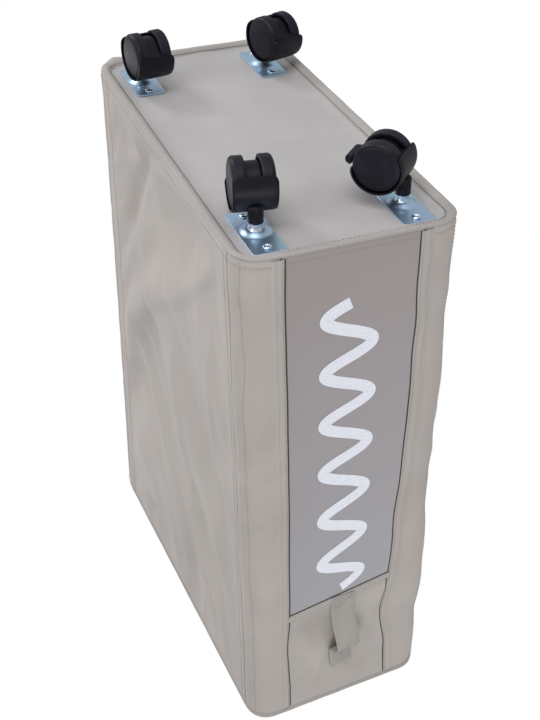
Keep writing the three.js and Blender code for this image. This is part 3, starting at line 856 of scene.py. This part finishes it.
# ---- folded edges and stitching on the walls ----
def edge_band(name, path, width, height, material=WALL_CLOTH):
    """A folded edge sewn on the wall. path lists [s, z] places, and the band is width wide across it."""
    across = np.linspace(-1, 1, 9)
    profile = height * (1 - across**4)
    points = []
    along = [0.0]
    for index, (s, z) in enumerate(path):
        before = path[max(index - 1, 0)]
        after = path[min(index + 1, len(path) - 1)]
        ds, dz = after[0] - before[0], after[1] - before[1]
        length = math.hypot(ds, dz)
        row = []
        for t, h in zip(across, profile):
            place_s = s + t * width / 2 * dz / length
            place_z = z - t * width / 2 * ds / length
            point, out = wall_frame(place_s, place_z)
            row.append(point + out * (h - 0.25 * MM))
        points.append(row)
        if index:
            along.append(along[-1] + math.hypot(s - before[0], z - before[1]))
    obj = add_object(name, grid_mesh(name, np.array(points), across * width / 2, along))
    subdivided(obj)
    dress(obj, material)


def stitch_rows(name, rows, pitch=3.4 * MM, length=2.5 * MM, thread=THREAD):
    """Lock stitches along each row. A row is a list of (point, outward) along the seam.

    Each stitch is a thin tube through five rings, placed as shares of its length, girth and lift.
    """
    vertices = []
    faces = []
    uvs = []
    end, shoulder = (0.5, 0.2, -0.35), (0.36, 0.8, 0.15)
    rings = [(-end[0], *end[1:]), (-shoulder[0], *shoulder[1:]), (0.0, 1.0, 0.42), shoulder, end]
    thick = 0.5 * MM
    sides = 6
    for row in rows:
        points = [Vector(p) for p, _ in row]
        spans = [0.0]
        for a, b in zip(points, points[1:]):
            spans.append(spans[-1] + (b - a).length)
        count = int(spans[-1] / pitch)
        for k in range(count):
            middle = (k + 0.5) * spans[-1] / count
            i = int(np.clip(np.searchsorted(spans, middle) - 1, 0, len(points) - 2))
            t = (middle - spans[i]) / max(spans[i + 1] - spans[i], 1e-9)
            centre = points[i].lerp(points[i + 1], t)
            ahead = (points[i + 1] - points[i]).normalized()
            out = Vector(row[i][1]).lerp(Vector(row[i + 1][1]), t).normalized()
            cross = ahead.cross(out).normalized()
            first = len(vertices)
            for along, girth, lift in rings:
                for a in range(sides):
                    angle = 2 * math.pi * a / sides
                    spoke = cross * math.cos(angle) + out * math.sin(angle)
                    place = centre + ahead * along * length + spoke * girth * thick / 2
                    vertices.append(place + out * lift * thick)
            for ring_index in range(len(rings) - 1):
                for a in range(sides):
                    b = (a + 1) % sides
                    low = first + ring_index * sides
                    faces.append((low + a, low + b, low + sides + b, low + sides + a))
                    u0, u1 = a * 0.2 * MM, (a + 1) * 0.2 * MM
                    v0, v1 = ring_index * 0.6 * MM, (ring_index + 1) * 0.6 * MM
                    uvs += [(u0, v0), (u1, v0), (u1, v1), (u0, v1)]
    dress(add_object(name, add_mesh(name, vertices, faces, uvs)), thread)


def wall_row(path, lift=0.0, wander=0.0, seed=0.0):
    """A seam's places on the wall, as (point, outward), with a little unevenness."""
    row = []
    for s, z in path:
        drift = wander * noise.noise(Vector((s * 30, z * 30, seed)))
        point, out = wall_frame(s + drift, z)
        row.append((point + out * lift, out))
    return row


SEAM_STEP = 5 * MM
UPRIGHT_Z = np.arange(WALL_FOOT + 1.5 * MM, RIM - HEM_LEG + 1 * MM, SEAM_STEP)
FOLD_WIDE = 11 * MM
FOLD_HIGH = 1.5 * MM
# width and height of the near-black bands of painted shade along the window's seams
SHADE_LINE_WIDE = 1.5 * MM
SHADE_LINE_HIGH = 0.7 * MM


def across_window(z):
    """A level path over the window at height z."""
    return [(s, z) for s in np.arange(-S_STRIP, S_STRIP, SEAM_STEP)]


def seam_drift(sign, z):
    """How far the strip's folded edge wanders over the window. The left one is the slacker."""
    wander = 1.6 * math.sin(z * 13 + sign) + 1.2 * noise.noise(Vector((z * 22, sign * 3, 0.5)))
    return wander * (1.5 if sign < 0 else 0.5) * MM


def strip_seam(sign, offset):
    """A path up the edge of a front strip, offset away from the window."""
    return [(sign * (S_STRIP + offset + seam_drift(sign, z)), z) for z in UPRIGHT_Z]


for side, sign in (("right", 1), ("left", -1)):
    seam = strip_seam(sign, FOLD_WIDE / 2 - 4 * MM)
    edge_band(f"window_edge_fold_{side}", seam, FOLD_WIDE, FOLD_HIGH)
edge_band("window_top_fold", across_window(WINDOW_TOP + 3.5 * MM), 9 * MM, 1.2 * MM)

# a thin near-black band, painted shade, stands for the shadow where a folded edge stands off the window
for side, sign in (("right", 1), ("left", -1)):
    seam = strip_seam(sign, -4.3 * MM)
    edge_band(f"window_seam_shade_{side}", seam, SHADE_LINE_WIDE, SHADE_LINE_HIGH, SEAM_SHADE)
edge_band("window_top_seam_shade", across_window(WINDOW_TOP - 1.2 * MM), SHADE_LINE_WIDE, SHADE_LINE_HIGH, SEAM_SHADE)

window_rows = []
for sign in (-1, 1):
    for offset in (-1.8 * MM, 3.6 * MM):
        window_rows.append(wall_row(strip_seam(sign, offset), FOLD_HIGH * 0.8))
for z in (WINDOW_TOP + 1 * MM, WINDOW_TOP + 5.6 * MM):
    window_rows.append(wall_row(across_window(z), 0.9 * MM, 0.5 * MM, z))
stitch_rows("window_stitching", window_rows)

sleeve_rows = []
for sign in (-1, 1):
    for seam_s in (S_SIDE - 13 * MM, S_SIDE + 7 * MM, S_ROD_BACK - 8.5 * MM, S_ROD_BACK + 8.5 * MM):
        path = [(sign * seam_s, z) for z in UPRIGHT_Z]
        sleeve_rows.append(wall_row(path, 0.1 * MM, 1.4 * MM, sign * seam_s))
stitch_rows("rod_sleeve_stitching", sleeve_rows)


def hem_row(inset, z, facing):
    """A seam right round a hem. It faces outwards, or up or down."""
    row = []
    for (x, y), (nx, ny) in zip(*outline(inset)):
        out = (0, 0, facing) if facing else (nx, ny, 0)
        row.append((Vector((x, y, z)), Vector(out)))
    return row + row[:1]


stitch_rows("hem_stitching", [
    hem_row(-0.2 * MM, COLLAR + 8.5 * MM, 0),
    hem_row(-0.6 * MM, RIM - 6 * MM, 0),
    hem_row(7.8 * MM, RIM + 0.1 * MM, 1),
])
# stitches round the collar, drawn in near-black so that they also paint the shadow line along the collar
# seam
collar_row = hem_row(8.6 * MM, COLLAR + 2.75 * MM, -1)
stitch_rows("collar_shade_stitching", [collar_row], length=2.9 * MM, thread=SEAM_SHADE)


# ---- the white print: a plain running wave in place of the lettering ----
def printed_wave(name, s_middle, z_low, z_high, swing, waves, stroke):
    """A ribbon of even width that swings from side to side up the window."""
    t = np.linspace(0, 1, 420)
    centre_s = s_middle + swing * np.sin(2 * math.pi * waves * t)
    centre_z = z_low + (z_high - z_low) * t
    ds = np.gradient(centre_s)
    dz = np.gradient(centre_z)
    length = np.hypot(ds, dz)
    rows = []
    for s, z, a, b in zip(centre_s, centre_z, ds / length, dz / length):
        row = []
        for side in np.linspace(-0.5, 0.5, 4):
            point, out = wall_frame(s + side * stroke * b, z - side * stroke * a)
            row.append(point + out * 0.25 * MM)
        rows.append(row)
    along = np.concatenate([[0], np.cumsum(length[1:])])
    mesh = grid_mesh(name, np.array(rows), np.linspace(0, stroke, 4), along)
    dress(add_object(name, mesh), PRINT)


printed_wave("window_print", 2 * MM, 104 * MM, 424 * MM, swing=22 * MM, waves=6, stroke=11.5 * MM)


# ---- carrying straps ----
def strap(end, sign):
    """A strap sewn flat to the wall at both ends, which bows out between them."""
    node = f"carry_strap_{end}"
    low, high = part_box(node)
    width = high.x - low.x
    sewn = 16 * MM
    sewn_high = 23 * MM
    bow = high.y - low.y - 7 * MM
    zs = np.concatenate([
        np.linspace(low.z, low.z + sewn, 7),
        np.linspace(low.z + sewn, high.z - sewn_high, 27)[1:-1],
        np.linspace(high.z - sewn_high, high.z, 9),
    ])
    t = np.clip((zs - low.z - sewn) / (high.z - low.z - sewn - sewn_high), 0, 1)
    lift = bow * np.sin(math.pi * t**1.9) ** 0.95
    ts = np.linspace(-1, 1, 13)
    points = np.zeros((len(zs), len(ts), 3))
    for i, z in enumerate(zs):
        for j, across in enumerate(ts):
            s = across * width / 2 if sign < 0 else S_END - abs(across) * width / 2
            edge = 0.35 * MM * (1 - abs(across) ** 6)
            y = wall_at(s, z).y + sign * (1.7 * MM + lift[i] + edge)
            points[i, j] = (across * width / 2 * -sign, y, z)
    centre_line = points[:, len(ts) // 2]
    along = run_lengths(centre_line)
    obj = sheet_object(f"{node}_webbing", points, ts * width / 2, along, thick=1.5 * MM)
    dress(obj, STRAP_CLOTH, nodes=[node])

    # stitches along both edges, and a crossed box at each sewn end
    out = Vector((0, sign, 0))
    x = width / 2 - 2.5 * MM
    rows = []
    for side in (-1, 1):
        rows.append([(Vector((side * x, y, z)) + out * 0.1 * MM, out) for _, y, z in centre_line])
    low_end = (low.z + 2 * MM, low.z + sewn - 1 * MM)
    high_end = (high.z - sewn_high + 2 * MM, high.z - 2 * MM)
    for z0, z1 in (low_end, high_end):
        y = float(np.interp((z0 + z1) / 2, zs, centre_line[:, 1])) + sign * 0.1 * MM
        for za, zb in ((z0, z0), (z1, z1), (z0, z1), (z1, z0)):
            rows.append([(Vector((-x, y, za)), out), (Vector((x, y, zb)), out)])
    stitch_rows(f"{node}_stitching", rows, pitch=3.0 * MM, length=2.2 * MM)


strap("front", -1)
strap("back", 1)


# ---- casters ----
# A caster is drawn in mm about its axle: u towards the kingpin, v up, w along the axle.
wheel_low, wheel_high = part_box("wheel_front_left_a")
WHEEL_R = (wheel_high.z - wheel_low.z) / 2 / MM
WHEEL_INNER = 6.0
WHEEL_OUTER = 17.5
HOOD_R = 22.8
HOOD_THICK = 1.5
HOOD_HALF = 17.8
HOOD_FRONT = -36
HOOD_REAR = 192
BRAKED_HOOD_REAR = 168
WEB_HALF = 5.5
WEB_LOW_R = 16
TRAIL = 18.0
PLATE_THICK = 1.2
STEM_TOP = 45.3
AXLE_Z = joints["spin_front_left_a"]["pos_m"][2] / MM
PLATE_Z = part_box("caster_plate_front_left")[1].z - 1.5 * MM


def wheel_mesh():
    inner = WHEEL_INNER
    outer = WHEEL_OUTER
    r = 20.5
    return lathe_mesh("wheel", [
        (0, inner + 8), (2.85, inner + 8), (2.85, inner + 0.2), (3.1, inner), (6.6, inner),
        (6.9, inner + 0.3), (7.2, inner + 3), (8, inner + 3.6), (15.6, inner + 3.6), (16.6, inner + 3),
        (17.3, inner + 0.4), (17.6, inner), (r - 0.9, inner), (r - 0.25, inner + 0.25), (r, inner + 0.9),
        (r, inner + 3), (r, outer - 4.2), (r, outer - 3.4), (r - 0.25, outer - 2.9), (r - 1.1, outer - 1.7),
        (r - 1.5, outer - 1.3), (18.1, outer - 1.0), (17.7, outer - 1.05), (17.4, outer - 0.9),
        (17.1, outer - 0.6), (16.4, outer - 0.48), (12, outer - 0.22), (6, outer - 0.06), (0.01, outer),
    ], sides=72)


def plate_between(name, outer, inner):
    """A plate between two grids of points, closed round its edges."""
    rows, columns = outer.shape[:2]

    def at(layer, i, j):
        return (layer * rows + i) * columns + j

    faces = []
    for i in range(rows - 1):
        for j in range(columns - 1):
            faces.append((at(0, i, j), at(0, i, j + 1), at(0, i + 1, j + 1), at(0, i + 1, j)))
            faces.append((at(1, i, j), at(1, i + 1, j), at(1, i + 1, j + 1), at(1, i, j + 1)))
    border = [(0, j) for j in range(columns)] + [(i, columns - 1) for i in range(1, rows)]
    border += [(rows - 1, j) for j in range(columns - 2, -1, -1)]
    border += [(i, 0) for i in range(rows - 2, 0, -1)]
    for a, b in zip(border, border[1:] + border[:1]):
        faces.append((at(0, *a), at(0, *b), at(1, *b), at(1, *a)))
    mesh = add_mesh(name, np.concatenate([outer.reshape(-1, 3), inner.reshape(-1, 3)]), faces)
    tidy(mesh)
    return mesh


def hood_shell_mesh(rear):
    """The guard over both wheels: a close arc over the treads, with round corners at both ends."""
    corner = 5.0
    layers = []
    for inset in (0, HOOD_THICK):
        columns = []
        for w in np.linspace(-HOOD_HALF, HOOD_HALF, 33):
            edge = max(abs(w) - (HOOD_HALF - corner), 0)
            drawn_back = math.degrees((corner - math.sqrt(corner**2 - edge**2)) / HOOD_R)
            radius = (HOOD_R - inset) * (1 - 0.03 * (abs(w) / HOOD_HALF) ** 8)
            line = arc(radius, HOOD_FRONT + drawn_back, rear - drawn_back, 60)
            columns.append([(u, v, w) for u, v in line])
        layers.append(np.array(columns) * MM)
    return plate_between("hood shell", *layers)


def hood_mesh(braked):
    """The shell, the web between the wheels and the stem's socket. Two cheeks leave room for a pedal."""
    rear = BRAKED_HOOD_REAR if braked else HOOD_REAR
    parts = [hood_shell_mesh(rear)]
    web_r = HOOD_R - 0.8
    web_front = HOOD_FRONT + 6
    if braked:
        web = arc(web_r, web_front, 150, 30) + [(-6.4, 11.1), (-6.4, -5.5), (-8.8, -13.4)]
        web += arc(WEB_LOW_R, 240, 320, 10)
        cheek = arc(web_r, 150, rear - 4, 4) + arc(WEB_LOW_R, 210, 240, 5) + [(-6, -5.5), (-6, 11.4)]
    else:
        web = arc(web_r, web_front, rear - 4, 30) + arc(WEB_LOW_R, 210, 320, 12)
    parts.append(prism_mesh("web", web, WEB_HALF))
    cheek_half = 0.9
    for side in (-1, 1) if braked else ():
        plate = prism_mesh("cheek", cheek, cheek_half)
        plate.transform(Matrix.Translation((0, 0, side * (WEB_HALF - cheek_half) * MM)))
        parts.append(plate)
    top = STEM_TOP - AXLE_Z
    socket = lathe_mesh("socket", [
        (0, 10), (5.2, 10), (6.1, 10.6), (6.35, 12), (6.35, 17), (6.35, top - 0.7), (6.1, top - 0.2),
        (5.5, top), (3.9, top), (3.75, top - 0.3), (3.75, top - 9), (0, top - 9),
    ], sides=48)
    socket.transform(Matrix.Rotation(-math.pi / 2, 4, "X"))
    socket.transform(Matrix.Translation((TRAIL * MM, 0, 0)))
    parts.append(clear_of_wheels(socket))
    return joined("hood", parts)


def clear_of_wheels(mesh):
    """Draws what would stand in the wheels' own space in between them."""
    room = (WHEEL_R + 0.7) * MM
    gap_half = (WHEEL_INNER - 0.6) * MM
    for vertex in mesh.vertices:
        u, v, w = vertex.co
        if abs(w) > gap_half and math.hypot(u, v) < room:
            vertex.co.z = math.copysign(gap_half, w)
    return mesh


def pedal_mesh():
    """An arm on a pin at pu, pv, and the pad that a foot presses."""
    pu, pv = -10.0, 3.0
    arm = [(pu + 2.6, pv + 1), (pu + 2, pv + 2.4), (pu, pv + 3.1), (-17, 4.6), (-23, 2.3), (-23, -2.9)]
    arm += [(-17, -2.2), (pu, pv - 3.2), (pu + 2.2, pv - 2)]
    pad = [(-22.4, 2.2), (-23.4, 2.5), (-24, 3.1), (-24.6, 2.6), (-25.4, 3.1), (-26, 2.4), (-26.8, 2.8)]
    pad += [(-27.6, 1.8), (-28.2, 0.2), (-28.1, -1.6), (-27.4, -3.2), (-25.6, -4.2), (-22.4, -3.6)]
    arm_mesh = prism_mesh("arm", arm, WEB_HALF - 2.3)
    pad_mesh = prism_mesh("pad", pad, 12)
    for vertex in pad_mesh.vertices:
        if vertex.co.x < -25 * MM:
            vertex.co.z *= 0.86
    pin_profile = [(0, -5.3), (1.4, -5.3), (1.6, -5.1), (1.6, 5.1), (1.4, 5.3), (0, 5.3)]
    pin = lathe_mesh("pin", pin_profile, sides=24)
    pin.transform(Matrix.Translation((pu * MM, pv * MM, 0)))
    return joined("pedal", [arm_mesh, pad_mesh, pin])


def plate_mesh():
    """The pressed plate, seen from below: a rounded rectangle with a domed boss round the kingpin."""
    half_x, half_y, radius = 14.0, 33.0, 3.0
    x, y = rounded_grid(half_x, half_y, radius, np.linspace(-half_y, half_y, 83), 39)
    boss = 3.1 * smooth((13.6 - np.hypot(x, y)) / 8.2)
    lower = np.stack([x, y, -boss], -1) * MM
    upper = np.stack([x, y, PLATE_THICK - boss], -1) * MM
    return plate_between("plate", lower, upper)


def kingpin_mesh():
    return lathe_mesh("kingpin", [
        (0, -9), (3.3, -9), (3.3, 0.1), (4.7, 0.2), (5.0, 0.5), (5.0, 1.9), (4.8, 2.2), (4.9, 2.6),
        (5.2, 3.7), (5.6, 4.5), (6.3, 5.2), (6.6, 5.7), (6.2, 6.6), (0, 6.6),
    ], sides=48)


def screw_mesh():
    """A pan head with a cross recess, facing down, and its plain shank."""
    rings = np.array([0.01, 0.4, 0.8, 1.2, 1.6, 2.0, 2.5, 3.0, 3.45, 3.75, 3.9, 3.9])
    sides = 56
    angle = np.linspace(0, 2 * math.pi, sides, endpoint=False)
    points = []
    for index, r in enumerate(rings):
        x = r * np.cos(angle)
        y = r * np.sin(angle)
        dome = 1.7 * np.sqrt(max(1 - (r / 4.0) ** 2.2, 0)) if index < len(rings) - 1 else 0.0
        arm = np.maximum(smooth((0.62 - np.abs(x)) / 0.25), smooth((0.62 - np.abs(y)) / 0.25))
        recess = 1.3 * arm * smooth((2.15 - r) / 0.5)
        points.append(np.stack([x, y, -(dome - recess)], -1))
    around = np.linspace(0, 24, sides + 1)
    head = grid_mesh("head", np.array(points) * MM, around * MM, rings * MM, wrap=True)
    tidy(head)
    shank = lathe_mesh("shank", [(0, 0.0), (1.8, 0.0), (1.8, 4.0), (0, 5.6)], sides=20)
    return joined("screw", [head, shank])


meshes = {
    "wheel": wheel_mesh(),
    "hood": hood_mesh(False),
    "hood_braked": hood_mesh(True),
    "pedal": pedal_mesh(),
    "plate": plate_mesh(),
    "kingpin": kingpin_mesh(),
    "screw": screw_mesh(),
}


def fitted(name, mesh, matrix, material, node, body="bag", bevel=0.0, angle=40):
    """A copy of a mesh at its place, which stands for one CAD node."""
    obj = add_object(name, meshes[mesh].copy())
    obj.data.transform(matrix)
    if bevel:
        bevelled(obj, bevel, angle=angle)
    dress(obj, material, body=body, nodes=[node])


for caster in CASTERS:
    kingpin_at = Vector(joints[f"swivel_{caster}"]["pos_m"])
    axle_at = Vector(joints[f"spin_{caster}_a"]["pos_m"])
    axle_way = Vector(joints[f"spin_{caster}_a"]["axis"]).normalized()
    to_kingpin = Vector((kingpin_at.x - axle_at.x, kingpin_at.y - axle_at.y, 0)).normalized()
    axes = Matrix((to_kingpin, (0, 0, 1), axle_way)).transposed().to_4x4()
    about_axle = Matrix.Translation(axle_at) @ axes
    on_floor = Matrix.Translation((kingpin_at.x, kingpin_at.y, 0))

    plate_at = on_floor @ Matrix.Translation((0, 0, PLATE_Z))
    node = f"caster_plate_{caster}"
    fitted(f"plate_{caster}_metal", "plate", plate_at, ZINC, node, bevel=0.25 * MM, angle=60)
    stem_end = on_floor @ Matrix.Translation((0, 0, STEM_TOP * MM))
    fitted(f"kingpin_{caster}_metal", "kingpin", stem_end, BRIGHT, f"kingpin_{caster}")
    for place, way in (("front", -1), ("rear", 1)):
        turn = Matrix.Rotation(0.4 + way * 0.7 + kingpin_at.x * 9, 4, "Z")
        head_at = on_floor @ Matrix.Translation((0, way * 25 * MM, PLATE_Z - 0.3 * MM)) @ turn
        node = f"screw_{caster}_{place}"
        fitted(f"{node}_metal", "screw", head_at, BRIGHT, node)

    hood = "hood_braked" if caster in BRAKED else "hood"
    node = f"hood_{caster}"
    body = f"swivel_{caster}"
    fitted(f"{node}_nylon", hood, about_axle, NYLON, node, body=body, bevel=0.35 * MM)
    for letter, half_turn in (("a", 0), ("b", math.pi)):
        turned = about_axle @ Matrix.Rotation(half_turn, 4, "Y")
        node = f"wheel_{caster}_{letter}"
        fitted(f"{node}_nylon", "wheel", turned, WHEEL_NYLON, node, body=node)
    if caster in BRAKED:
        node = f"brake_pedal_{caster}"
        name = f"pedal_{caster}_nylon"
        body = f"brake_{caster}"
        fitted(name, "pedal", about_axle, NYLON, node, body=body, bevel=0.3 * MM)

# ---- the rods and the rim's wire, which lean with the twisted bag ----
for node, obj in list(frame["nodes"].items()):
    if node == "rim_wire_loop":
        name, material, slot = "rim_wire", WIRE, "steel"
    elif node.startswith("upright_rod"):
        name, material, slot = f"{node}_tube", TUBE, "tube"
    else:
        continue
    leaning = add_object(name, obj.data.copy())
    bm = bmesh.new()
    bm.from_mesh(leaning.data)
    everything = bm.verts[:] + bm.edges[:] + bm.faces[:]
    bmesh.ops.bisect_plane(bm, geom=everything, plane_co=(0, 0, TWIST_FROM), plane_no=(0, 0, 1))
    bm.to_mesh(leaning.data)
    bm.free()
    dress(leaning, material, nodes=[node])

# ---- the whole bag's twist ----
for obj in bag_pieces:
    for vertex in obj.data.vertices:
        share = max(vertex.co.z - TWIST_FROM, 0) / (RIM - TWIST_FROM)
        vertex.co = Matrix.Rotation(TWIST * share, 4, "Z") @ vertex.co
        vertex.co.x += SLIDE * share

# ---- CAD nodes that keep their own shape ----
finishes = {"axle": WIRE, "base_board": BOARD, "bottom_wire_loop": WIRE}
for node, obj in frame["nodes"].items():
    for start, material in finishes.items():
        if node.startswith(start):
            obj.data.materials.clear()
            obj.data.materials.append(material)


# ---- stage: a pale floor that shows only from above, soft lights all round, the camera ----
def floor_material():
    """Pale and matt from above, and clear from below, where the main camera stands."""
    n = Nodes("pale floor")
    place = n.place()
    n.set(Base_Color=n.ramp(n.noise(place, 3, 2.0), (0.8, 0.8, 0.8), (0.84, 0.84, 0.84)), Roughness=0.7)
    underside = n.node("ShaderNodeNewGeometry").outputs["Backfacing"]
    clear = n.node("ShaderNodeBsdfTransparent")
    mixed = n.node("ShaderNodeMixShader")
    n.link(underside, mixed.inputs[0])
    n.link(n.shader.outputs[0], mixed.inputs[1])
    n.link(clear.outputs[0], mixed.inputs[2])
    n.link(mixed.outputs[0], n.tree.nodes["Material Output"].inputs[0])
    return n.material


FLOOR_HALF = 30.0
corners = [(x * FLOOR_HALF, y * FLOOR_HALF, 0) for x, y in ((-1, -1), (1, -1), (1, 1), (-1, 1))]
floor = add_object("floor", add_mesh("floor", corners, [(0, 1, 2, 3)]))
floor.data.materials.append(floor_material())
floor.visible_shadow = False
floor.visible_diffuse = False
floor.visible_glossy = False

scene = bpy.context.scene
scene.view_settings.view_transform = "Standard"
world = bpy.data.worlds.new("studio")
scene.world = world
world.use_nodes = True
background = world.node_tree.nodes["Background"]
background.inputs["Color"].default_value = (1, 1, 1, 1)
seen = world.node_tree.nodes.new("ShaderNodeLightPath").outputs["Is Camera Ray"]
strength = world.node_tree.nodes.new("ShaderNodeMapRange")
strength.inputs["To Min"].default_value = 0.46
strength.inputs["To Max"].default_value = 1.0
world.node_tree.links.new(seen, strength.inputs["Value"])
world.node_tree.links.new(strength.outputs[0], background.inputs["Strength"])

aimed_at = Vector((0, 0, 0.3))


def soft_light(name, place, width, power):
    data = bpy.data.lights.new(name, "AREA")
    data.shape = "SQUARE"
    data.size = width
    data.energy = power
    lamp = bpy.data.objects.new(name, data)
    scene.collection.objects.link(lamp)
    lamp.location = place
    lamp.rotation_mode = "QUATERNION"
    lamp.rotation_quaternion = (aimed_at - lamp.location).to_track_quat("-Z", "Y")


soft_light("key_below", (0.55, -0.65, -1.8), 1.4, 19)
soft_light("fill_side", (1.9, -0.6, -0.8), 1.1, 9)
soft_light("raking", (0.95, 1.7, -1.4), 0.6, 15)
soft_light("front", (0.3, -2.0, 0.85), 0.8, 8)
soft_light("key_above", (-1.3, -1.5, 1.9), 1.6, 11)
soft_light("back_above", (1.0, 2.0, 1.6), 1.6, 14)

camera_data = bpy.data.cameras.new("camera")
camera_data.sensor_width = 36
camera_data.lens = 57
camera_data.clip_start = 0.02
camera = bpy.data.objects.new("camera", camera_data)
scene.collection.objects.link(camera)
scene.camera = camera
# the camera's place and directions, fitted to the corners of the hems and of the plates
right = Vector((-0.930, -0.366, -0.0035)).normalized()
ahead = Vector((-0.2954, 0.7450, 0.5980)).normalized()
above = right.cross(ahead).normalized()
turn = Matrix((right, above, -ahead)).transposed()
eye = (0.3312, -0.6609 - HALF_Y, RIM - 0.9806)
camera.matrix_world = Matrix.Translation(eye) @ turn.to_4x4()

bpy.context.view_layer.update()
